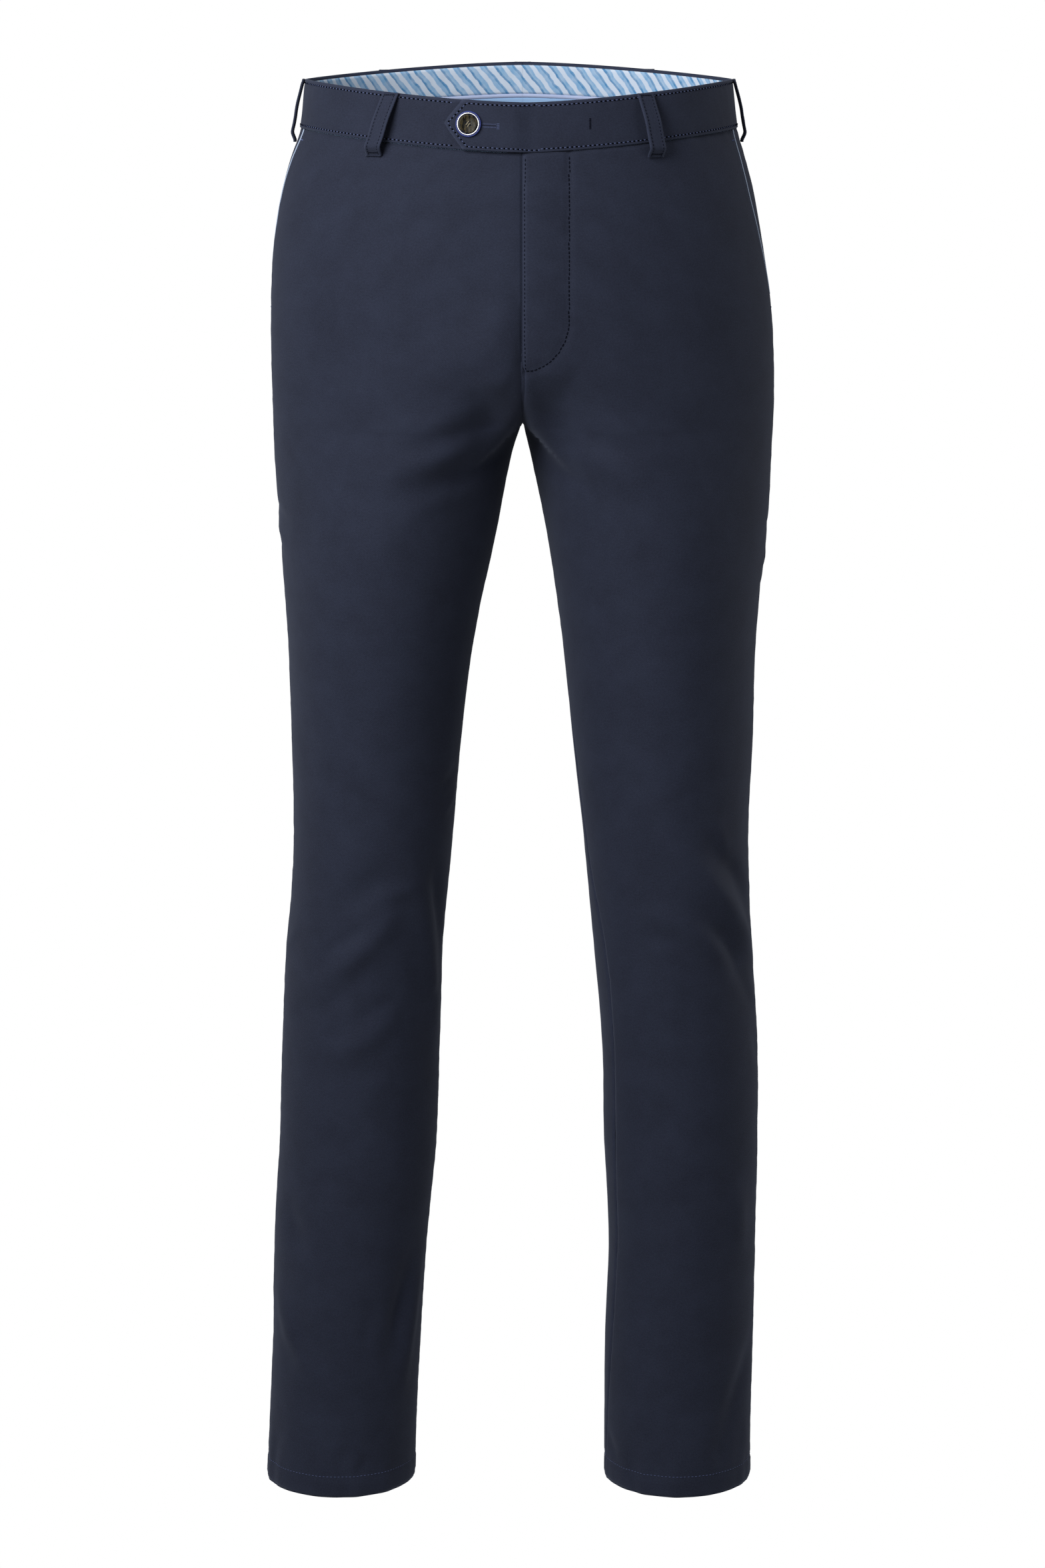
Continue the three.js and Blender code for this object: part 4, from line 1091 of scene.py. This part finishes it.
def build_edging(side):
    word = WORD[side]
    level = np.linspace(PANEL_TOP, -160, 70)
    level = level[mouth_ahead(side, level) > 3.2][:, None]
    share = np.linspace(0, 1, 5)[None, :]
    ahead = mouth_ahead(side, level) - GAP / 2 - 1.5 * (1 - share)
    girth, level = np.broadcast_arrays(girth_ahead(ahead, level), level)
    at, normal = surface(side, girth, level)
    out = 0.45 - 0.7 * (1 - np.sin(np.pi * (0.25 + 0.6 * share))) + 0 * level
    name, node = f"pocket_edging_poplin_{word}", f"pocket_edging_{word}"
    return cloth_piece(name, at + normal * out[..., None], normal, edging_poplin, node, 0.5, "edging")


for side in (-1, 1):
    build_facing(side)
edgings = {side: build_edging(side) for side in (-1, 1)}
print("pocket mouths end at level", POCKET_END)

# %% Fly facing and back welts


def build_fly_facing():
    level = mix(PANEL_TOP + 8, FLY_END + 2.2, np.linspace(0, 1, 70))[:, None]
    t = np.clip((FLY_CURVE_TOP - level) / (FLY_CURVE_TOP - FLY_END - 2), 0, 1)
    flare = ease(level, -52, -40)
    width = np.maximum(FLY_WIDTH * np.sqrt(1 - t * t), 2) + 3.5 * flare
    x = mix(-3.0 - 8 * flare, width, np.linspace(0, 1, 16)[None, :])
    x, level = np.broadcast_arrays(x, level)
    half = np.where(x < 0, -1.0, 1.0)
    at, normal = surface(half, girth_at(half, 1, x, level), level)
    out = -CLOTH - 0.9 + 0.2 * waves(x, level, 24, 411)
    cloth_piece("fly_facing_cloth", at + normal * out[..., None], normal, twill, "fly_facing", 1.0)


WELT_FROM = 44
WELT_TO = 152
WELT_TOP = -88
WELT_HEIGHT = 9


def build_welt(side):
    word = WORD[side]
    x = np.linspace(WELT_FROM, WELT_TO, 64)[None, :]
    share = np.linspace(0, 1, 13)[:, None]
    x, share = np.broadcast_arrays(x, share)
    level = WELT_TOP - WELT_HEIGHT * share
    at, normal = surface(side, girth_at(side, -1, x, level), level)
    edge = np.minimum(np.minimum(share, 1 - share) * WELT_HEIGHT, np.minimum(x - WELT_FROM, WELT_TO - x))
    out = 1.3 * ease(edge, -0.6, 1.4) + 0.12 * waves(x, level, 12, 421 + side) - 0.2 * hump(edge - 1.8, 0.8)
    points = at + normal * out[..., None]
    # Paler at the welt's edges: rubbed wear and painted highlight.
    wear = 0.15 * hump(edge, 1.2)
    cloth_piece(f"back_welt_cloth_{word}", points, normal, twill_band, f"back_welt_{word}", 1.0, wear=wear)


build_fly_facing()
for side in (-1, 1):
    build_welt(side)
print("welts", WELT_TO - WELT_FROM, "mm wide")

# %% [markdown]
# ## Belt loops
#
# A belt loop is a strip folded in three, so its edges are round and full. It is tacked at the band's top
# edge, stands off to let the belt through, and comes back to the cloth a little below the band.

# %% Belt loops
LOOP_WIDTH = 13.6
LOOP_THICK = 1.8
LOOP_TOP = -0.6
LOOP_BOTTOM = -47
# Each row: name, side, girth at the top, girth at the foot, how far the loop stands off.
LOOPS = [
    ("front_right", -1, 80, 74, 6.4),
    ("front_left", 1, 82.5, 79.5, 6.4),
    ("side_right", -1, -2, -2, 3.6),
    ("side_left", 1, -2, -2, 3.6),
    ("back_right", -1, -74, -74, 6.4),
    ("back_left", 1, -78, -78, 6.4),
    ("back_centre", 1, -180, -180, 5.2),
]
LOOP_SECTION = [
    (-0.5, 0.55), (-0.47, 0.88), (-0.42, 1.0), (-0.36, 1.03), (-0.3, 0.9), (-0.24, 0.86), (-0.1, 0.92),
    (0.1, 0.92), (0.24, 0.86), (0.3, 0.9), (0.36, 1.03), (0.42, 1.0), (0.47, 0.88), (0.5, 0.55),
    (0.47, 0.15), (0.4, 0.02), (0.1, 0), (-0.1, 0), (-0.4, 0.02), (-0.47, 0.15), (-0.5, 0.55),
]


def loop_path(side, girth, to_girth, stand, count=46):
    t = np.linspace(0, 1, count)
    level = mix(LOOP_TOP, LOOP_BOTTOM, t)
    rise = stand * ease(t, -0.1, 0.55) * (1 - ease(t, 0.86, 1)) * ease(t, 0, 0.09)
    inner = mix(BAND_PROUD + GAP, GAP, ease(t, 0.8, 1)) + rise
    round_waist = mix(girth, to_girth, t)
    at, normal = surface(side, round_waist, level)
    beyond, beyond_normal = surface(side, round_waist + (1 if girth < 0 else -1), level)
    middle = at + normal * inner[:, None]
    across = (beyond + beyond_normal * inner[:, None] - middle) * np.array([1, 1, 0])
    across /= np.linalg.norm(across, axis=1)[:, None]
    along = np.gradient(middle, axis=0)
    up = np.cross(across, along)
    up /= np.linalg.norm(up, axis=1)[:, None]
    up *= np.sign((up * normal).sum(1))[:, None]
    return middle, across, up


def build_loop(word, side, girth, to_girth, stand):
    middle, across, up = loop_path(side, girth, to_girth, stand)
    ripple = 1 + 0.05 * waves(np.arange(len(middle)) * 1.0, 0, 9, 500 + int(girth) + side)
    points = np.array([
        middle + across * (reach * LOOP_WIDTH) + up * (rise * LOOP_THICK * ripple)[:, None]
        for reach, rise in LOOP_SECTION
    ])
    # Paler on the loop's round edges: painted highlight and rubbed wear.
    on_edge = [abs(abs(reach) - 0.42) < 0.06 and rise > 0.6 for reach, rise in LOOP_SECTION]
    wear = np.broadcast_to(np.where(on_edge, 0.12, 0.04)[:, None], points.shape[:2])
    outward = np.broadcast_to(up, points.shape)
    return carried_piece(f"loop_cloth_{word}", points, outward, twill, f"loop_{word}", wear)


loops = {row[0]: build_loop(*row) for row in LOOPS}
print(len(loops), "belt loops,", LOOP_WIDTH, "mm wide")

# %% [markdown]
# ## Button
#
# Three parts, each a turned profile: a dark blue rim, a bright ring pressed into its step, and a dished horn
# face with four holes. spin turns each profile about the button's axis. The holes are discs of painted shade
# laid on the face, which is all that a hole this small shows.

# %% Button
BUTTON_X = -38.5
BUTTON_LEVEL = -17.6
RIM_PROFILE = [
    (0, 0), (8.5, 0), (9.1, 0.35), (9.4, 1.0), (9.3, 1.6), (9.0, 2.0), (8.75, 2.1), (8.6, 1.95), (8.6, 1.3),
    (0, 1.3),
]
RING_PROFILE = [
    (7.2, 1.6), (8.3, 1.6), (8.35, 2.2), (8.2, 2.5), (7.9, 2.66), (7.6, 2.66), (7.3, 2.45), (7.2, 2.1),
    (7.2, 1.6),
]
FACE_PROFILE = [
    (0, 1.6), (6.9, 1.6), (6.95, 2.1), (6.7, 2.35), (6.2, 2.4), (5.4, 2.25), (4.6, 2.05), (3.4, 1.95),
    (0, 1.95),
]
tab_at, tab_normal = surface(-1, girth_at(-1, 1, BUTTON_X, BUTTON_LEVEL), np.array(float(BUTTON_LEVEL)))
button_seat = tab_at + tab_normal * (BAND_PROUD + TAB_LIFT + GAP)
button_turn = Vector((0, 0, 1)).rotation_difference(Vector(tab_normal)).to_matrix().to_4x4()
button_place = Matrix.Translation(Vector(button_seat) / 1000) @ button_turn


def turned_piece(name, profile, material, node):
    body = bmesh.new()
    points = [body.verts.new((r / 1000, 0, h / 1000)) for r, h in profile]
    edges = [body.edges.new(pair) for pair in zip(points, points[1:])]
    bmesh.ops.spin(
        body, geom=points + edges, axis=(0, 0, 1), cent=(0, 0, 0), steps=72, angle=math.tau, use_merge=True
    )
    bmesh.ops.remove_doubles(body, verts=body.verts, dist=1e-7)
    bmesh.ops.recalc_face_normals(body, faces=body.faces)
    bmesh.ops.transform(body, matrix=button_place, verts=body.verts)
    mesh = bpy.data.meshes.new(name)
    body.to_mesh(mesh)
    body.free()
    mesh.shade_smooth()
    place_piece(name, mesh, material, [node])


turned_piece("button_rim_resin", RIM_PROFILE, rim_resin, "button_rim")
turned_piece("button_ring_chrome", RING_PROFILE, chrome, "button_ring")
turned_piece("button_face_horn", FACE_PROFILE, horn, "button_face")
print("button at", [round(v, 1) for v in button_seat])

# %% [markdown]
# ## Sewing
#
# A lockstitch shows as a row of short threads, each pressed into the cloth at both ends. Each is a small
# ellipsoid of thread. Its row is first drawn on the smooth form and then snapped to the nearest point of the
# real cloth, so the stitches follow every pucker.

# %% Stitch helpers
MM = 1 / 1000


def tree_of(*objects):
    """A search tree over the pieces' outer faces."""
    together = bmesh.new()
    for piece in objects:
        together.from_mesh(piece.data)
    tree = BVHTree.FromBMesh(together)
    together.free()
    return tree


def resample(points, pitch):
    steps = np.concatenate([[0], np.cumsum(np.linalg.norm(np.diff(points, axis=0), axis=1))])
    at = np.arange(pitch / 2, steps[-1], pitch)
    return np.stack([np.interp(at, steps, points[:, k]) for k in range(3)], 1)


def sew(row, tree, points, pitch=3.0, length=2.1, width=0.5, turn=False, sink=0.06):
    """Adds a row of stitches along the points, in millimetres. turn lays each across it, as in a bar tack."""
    centres = resample(np.asarray(points, float), pitch)
    if len(centres) < 2:
        return
    tangents = np.gradient(centres, axis=0)
    for centre, tangent in zip(centres, tangents):
        place, normal, _, _ = tree.find_nearest(Vector(centre) * MM)
        along = Vector(tangent).normalized()
        along = (along - normal * along.dot(normal)).normalized()
        side_way = normal.cross(along)
        if turn:
            along, side_way = side_way, along
        frame_of = Matrix((
            along * (length / 2 * MM),
            side_way * (width / 2 * MM),
            normal * (width / 2 * MM),
        )).transposed().to_4x4()
        frame_of.translation = place + normal * ((width * 0.25 - sink) * MM)
        bmesh.ops.create_uvsphere(row, u_segments=6, v_segments=4, radius=1, matrix=frame_of)


def join_rows(name, rows, material):
    whole = bmesh.new()
    for row in rows:
        part = bpy.data.meshes.new("part_of_a_row")
        row.to_mesh(part)
        row.free()
        whole.from_mesh(part)
        bpy.data.meshes.remove(part)
    mesh = bpy.data.meshes.new(name)
    whole.to_mesh(mesh)
    whole.free()
    mesh.shade_smooth()
    place_piece(name, mesh, material)
    print(name, len(mesh.polygons), "faces")


def sew_all(name, rows, material):
    """One piece from many rows, each a search tree, its points and what its stitches are like."""
    made = []
    for tree, points, stitch in rows:
        made.append(bmesh.new())
        sew(made[-1], tree, points, **stitch)
    join_rows(name, made, material)


def front_x_path(x, level, out=0.0):
    """Points over the front at these distances from the centre plane, positive on the wearer's left."""
    x, level = np.broadcast_arrays(np.asarray(x, float), np.asarray(level, float))
    side = np.where(x >= 0, 1.0, -1.0)
    at, normal = surface(side, girth_at(side, 1, x, level), level)
    return at + normal * out


def path(side, girth, level, out=0.0):
    girth, level = np.broadcast_arrays(np.asarray(girth, float), np.asarray(level, float))
    at, normal = surface(side, girth, level)
    return at + normal * out


print("stitch helpers ready")

# %% Rows on the waistband
band_trees = {side: tree_of(bands[side]) for side in (-1, 1)}
TOP_ROW = -2.9
LOW_ROW = -33.6
BAND_PITCH = 3.4
TAB_OUT = BAND_PROUD + TAB_LIFT
BAND_STITCH = dict(pitch=BAND_PITCH, length=2.0, width=0.75)
half_run = {
    -1: np.linspace(-179.5, float(girth_at(-1, 1, -50, 0)), 400),
    1: np.linspace(-179.5, float(girth_at(1, 1, 12, 0)), 400),
}
to_tip = np.linspace(-TAB_CORNER + 2.2, -TAB_TIP + 4, 12)
from_tip = np.linspace(-TAB_TIP + 4, -TAB_CORNER + 2.2, 12)
tab_outline = np.array(
    [(x, TOP_ROW) for x in np.linspace(12, -TAB_CORNER + 2.6, 40)]
    + list(zip(to_tip, np.linspace(-3.6, -17, 12)))
    + list(zip(from_tip, np.linspace(-19, -32.6, 12)))
    + [(x, LOW_ROW) for x in np.linspace(-TAB_CORNER + 2.6, 12, 40)]
)
band_paths = [
    (band_trees[side], path(side, half_run[side], level, BAND_PROUD))
    for level in (TOP_ROW, LOW_ROW) for side in (-1, 1)
]
band_paths.append((band_trees[1], front_x_path(tab_outline[:, 0], tab_outline[:, 1], TAB_OUT)))
sew_all("waistband_stitches", [(tree, points, BAND_STITCH) for tree, points in band_paths], lit_navy_thread)

# The needle pulls the cloth in between two stitches, and the shade in that dimple is painted as a dark dot.
HOLE_STEP = 0.5
NEEDLE_HOLE_SHADOW = dict(pitch=BAND_PITCH, length=1.5, width=1.4, sink=0.3)
half_stitch = int(BAND_PITCH / 2 / HOLE_STEP)
hole_shadow_rows = [(tree, resample(points, HOLE_STEP)[half_stitch:], NEEDLE_HOLE_SHADOW) for tree, points in band_paths]
sew_all("waistband_needle_hole_shadows", hole_shadow_rows, hole_shade)

# %% Rows on the fronts, the backs and the hems
front_trees = {side: tree_of(panels[side, 1]) for side in (-1, 1)}
leg_trees = {side: tree_of(panels[side, 1], panels[side, -1]) for side in (-1, 1)}
curve_turn = np.linspace(0, math.pi / 2 - 0.05, 30)
fly_path = np.array(
    [(FLY_WIDTH, level) for level in np.linspace(-40, FLY_CURVE_TOP, 60)]
    + [(FLY_WIDTH * math.cos(t), FLY_CURVE_TOP + (FLY_END - FLY_CURVE_TOP) * math.sin(t)) for t in curve_turn]
)
FLY_TOP = -40
FLY_STITCH = dict(pitch=3.1, length=2.6, width=0.9)
EDGE_STITCH = dict(pitch=3.1, length=2.2, width=0.7)
fly_rows = [
    (front_trees[1], front_x_path(fly_path[:, 0], fly_path[:, 1]), FLY_STITCH),
    (front_trees[1], front_x_path(2.2, np.linspace(FLY_TOP, -208, 90)), EDGE_STITCH),
]
hem_run = np.linspace(-179.5, 179.5, 300)
# The fly's rows use the thread copy with painted shade, as they lie in shadow.
sew_all("fly_stitches", fly_rows, shaded_navy_thread)
hem_rows = [(leg_trees[side], path(side, hem_run, HEM_STITCH), {}) for side in (-1, 1)]
sew_all("hem_stitches", hem_rows, lit_navy_thread)

# %% Back welts, belt loops and tacks
loop_trees = {row[0]: tree_of(loops[row[0]]) for row in LOOPS}


def welt_frame(side, inset):
    left, right = WELT_FROM - inset, WELT_TO + inset
    high, low = WELT_TOP + inset, WELT_TOP - WELT_HEIGHT - inset
    corners = [(left, high), (right, high), (right, low), (left, low), (left, high)]
    runs = [np.linspace(a, b, 40) for a, b in zip(corners, corners[1:])]
    x, level = np.concatenate(runs).T
    return path(side, girth_at(side, -1, x, level), level)


LOOP_STITCH = dict(pitch=2.6, length=1.8)
LOOP_TACK = dict(pitch=0.9, length=1.6, width=0.5, turn=True)
POCKET_TACK = dict(pitch=0.8, length=1.5, turn=True)
TACK_REACH = 4.6  # half as wide as a loop's tack


def loop_rows(word, side, girth, to_girth, stand):
    middle, across, up = loop_path(side, girth, to_girth, stand)
    lifted = middle + up * (LOOP_THICK + 0.2)
    tree = loop_trees[word]
    rows = [
        (tree, lifted[2:-1] + across[2:-1] * (reach * LOOP_WIDTH), LOOP_STITCH) for reach in (-0.3, 0.3)
    ]
    for at in (2, -4):
        ends = [lifted[at] - across[at] * TACK_REACH, lifted[at] + across[at] * TACK_REACH]
        rows.append((tree, ends, LOOP_TACK))
    return rows


def pocket_tack(side, level):
    ahead = float(mouth_ahead(side, level))
    return path(side, girth_ahead(ahead + np.linspace(0.5, 7, 8), level), level)


back_trees = {side: tree_of(panels[side, -1]) for side in (-1, 1)}
# The loops' rows use the thread copy with painted shade.
sew_all("loop_stitches", [row for spec in LOOPS for row in loop_rows(*spec)], shaded_navy_thread)
trim_rows = [(back_trees[side], welt_frame(side, 1.8), dict(pitch=2.6)) for side in (-1, 1)]
for side in (-1, 1):
    for level in (-44, -170):
        trim_rows.append((front_trees[side], pocket_tack(side, level), POCKET_TACK))
sew_all("pocket_stitches", trim_rows, lit_navy_thread)

# %% Buttonhole and the tack on the band
HOLE_LEVEL = -17.8
HOLE_STITCH = dict(pitch=1.0, length=1.4, width=0.4, turn=True)
HOLE_END_STITCH = dict(pitch=0.75, length=1.3, width=0.42, turn=True)
BAND_TACK = dict(pitch=0.62, length=1.9, width=0.5, turn=True)
SLIT_STITCH = dict(pitch=1.0, length=1.3, width=0.35)


def on_band(x, level, stitch, out=TAB_OUT):
    return band_trees[1], front_x_path(x, level, out), stitch


hole_run = np.linspace(-28.6, -18.5, 20)
hole_end = np.linspace(HOLE_LEVEL - 2.4, HOLE_LEVEL + 2.4, 10)
buttonhole = [on_band(hole_run, HOLE_LEVEL + offset, HOLE_STITCH) for offset in (-1.1, 1.1)]
buttonhole += [on_band(x, hole_end, HOLE_END_STITCH) for x in (-18.0, -16.9)]
sew_all("buttonhole_stitches", buttonhole, lit_navy_thread)
# The tack is sewn with the thread copy with painted shade, and the slit is a row of near-black stitches:
# painted shade where the cut opens.
sew_all("band_tack_stitches", [on_band(49, np.linspace(-14, -22, 12), BAND_TACK, BAND_PROUD)], shaded_navy_thread)
sew_all("buttonhole_slit_shadow", [on_band(np.linspace(-29, -18.6, 20), HOLE_LEVEL, SLIT_STITCH)], shaded_navy_thread)

# %% Rows on the lining, and the button's own thread
lining_trees = {side: tree_of(inside["lining", side]) for side in (-1, 1)}


def lining_rows(level, pitch):
    rows = []
    for side in (-1, 1):
        girth = np.linspace(-179, float(girth_at(side, 1, LINING_FRONT[side] + 2, 0)), 400)
        stitch = dict(pitch=pitch, length=2.0, width=0.55)
        rows.append((lining_trees[side], path(side, girth, level, INSIDE), stitch))
    return rows


lining_foot = -LINING_BELOW - LINING_HEIGHT
sew_all("lining_top_stitches", lining_rows(-LINING_BELOW - 1.0, 3.4), blue_thread)
sew_all("lining_low_stitches", lining_rows(lining_foot + 1.8, 3.0), white_thread)

HOLE_SPACING = 2.1
HOLE_RADIUS = 0.85
HOLE_HEIGHT = 1.99
STRAND = (0.8, 0.75)  # which way the strands run over the face
BEAD = (0.30, 0.15, 0.15)


def button_thread():
    """Two slanting strands of three plies each, bowed up over the face."""
    strands = bmesh.new()
    turn = Matrix.Rotation(math.atan2(STRAND[1], STRAND[0]), 4, "Z")
    bead = Matrix.Diagonal([half / 1000 for half in BEAD] + [1])
    for shift in (-0.85, 0.85):
        for lay in (-0.28, 0.0, 0.28):
            for t in np.linspace(-1, 1, 9):
                along = t * 1.35
                x = along * STRAND[0] + (shift + lay) * -0.45
                y = along * STRAND[1] + (shift + lay) * 0.9
                height = 2.05 + 0.42 * (1 - t * t)
                place = button_place @ Matrix.Translation(Vector((x, y, height)) / 1000) @ turn @ bead
                bmesh.ops.create_uvsphere(strands, u_segments=8, v_segments=5, radius=1, matrix=place)
    join_rows("button_thread", [strands], beige_thread)


def button_hole_shadows():
    """Four discs of painted shade, just proud of the dished face, where the holes are."""
    discs = bmesh.new()
    for x in (-HOLE_SPACING / 2, HOLE_SPACING / 2):
        for y in (-HOLE_SPACING / 2, HOLE_SPACING / 2):
            place = button_place @ Matrix.Translation((x / 1000, y / 1000, HOLE_HEIGHT / 1000))
            bmesh.ops.create_circle(discs, cap_ends=True, segments=20, radius=HOLE_RADIUS / 1000, matrix=place)
    join_rows("button_hole_shadow_discs", [discs], shaded_navy_thread)


button_thread()
button_hole_shadows()

# %% [markdown]
# ## What each piece is cut from
# Every piece lies flat before it is sewn, and real twill doesn't stretch much.

# %% [markdown]
# ## Light
#
# The photograph has one large soft source, high on the left. A weak one on the right and a faint one far left
# fill its shadows, and the inner legs stay dark. A faint light from behind on each side gives the cloth's
# outer edges their soft rim. The trousers hang well above a pale floor. The background is white paper far
# behind, so the world shows white to the camera but lights the cloth only a little.

# %% Lights and floor
world = bpy.data.worlds.new("white_studio")
bpy.context.scene.world = world
world.use_nodes = True
world_tree = world.node_tree
world_tree.nodes.clear()
seen = add_node(world_tree, "ShaderNodeLightPath")
glow = add_node(world_tree, "ShaderNodeBackground", {"Color": (1, 1, 1, 1), "Strength": 0.165})
paper = add_node(world_tree, "ShaderNodeBackground", {"Color": (1, 1, 1, 1), "Strength": 1.0})
either = add_node(
    world_tree, "ShaderNodeMixShader",
    {0: seen.outputs["Is Camera Ray"], 1: glow.outputs[0], 2: paper.outputs[0]},
)
add_node(world_tree, "ShaderNodeOutputWorld", {"Surface": either.outputs[0]})


def softbox(name, place, aim, width, height, power):
    data = bpy.data.lights.new(name, "AREA")
    data.shape = "RECTANGLE"
    data.size, data.size_y, data.energy = width, height, power
    light = bpy.data.objects.new(name, data)
    light.location = place
    light.rotation_euler = (Vector(aim) - Vector(place)).to_track_quat("-Z", "Y").to_euler()
    bpy.context.collection.objects.link(light)


softbox("key_softbox", (-0.95, -1.3, 0.6), (0, 0, 0.02), 1.0, 1.2, 32)
softbox("side_softbox", (-2.4, -1.4, 0.3), (0, 0, -0.4), 1.2, 1.6, 2)
softbox("fill_softbox", (2.2, -1.6, 0.5), (0, 0, -0.2), 1.2, 1.6, 7.5)
softbox("right_rim_softbox", (1.9, 0.9, -0.3), (0, 0, -0.5), 1.2, 1.6, 8)
softbox("left_rim_softbox", (-1.9, 0.9, -0.3), (0, 0, -0.5), 1.2, 1.6, 4)
floor_sheet = bmesh.new()
bmesh.ops.create_grid(floor_sheet, x_segments=1, y_segments=1, size=2, matrix=Matrix.Translation((0, 0, -2)))
floor_mesh = bpy.data.meshes.new("pale_floor")
floor_sheet.to_mesh(floor_mesh)
floor_sheet.free()
floor = bpy.data.objects.new("pale_floor", floor_mesh)
floor.data.materials.append(start_material("pale_studio_floor", 0.8, Base_Color=srgb("#d9d9d6"))[0])
bpy.context.collection.objects.link(floor)
print("floor 2 m below the waist, just out of the picture")
bpy.context.scene.view_settings.view_transform = "Standard"
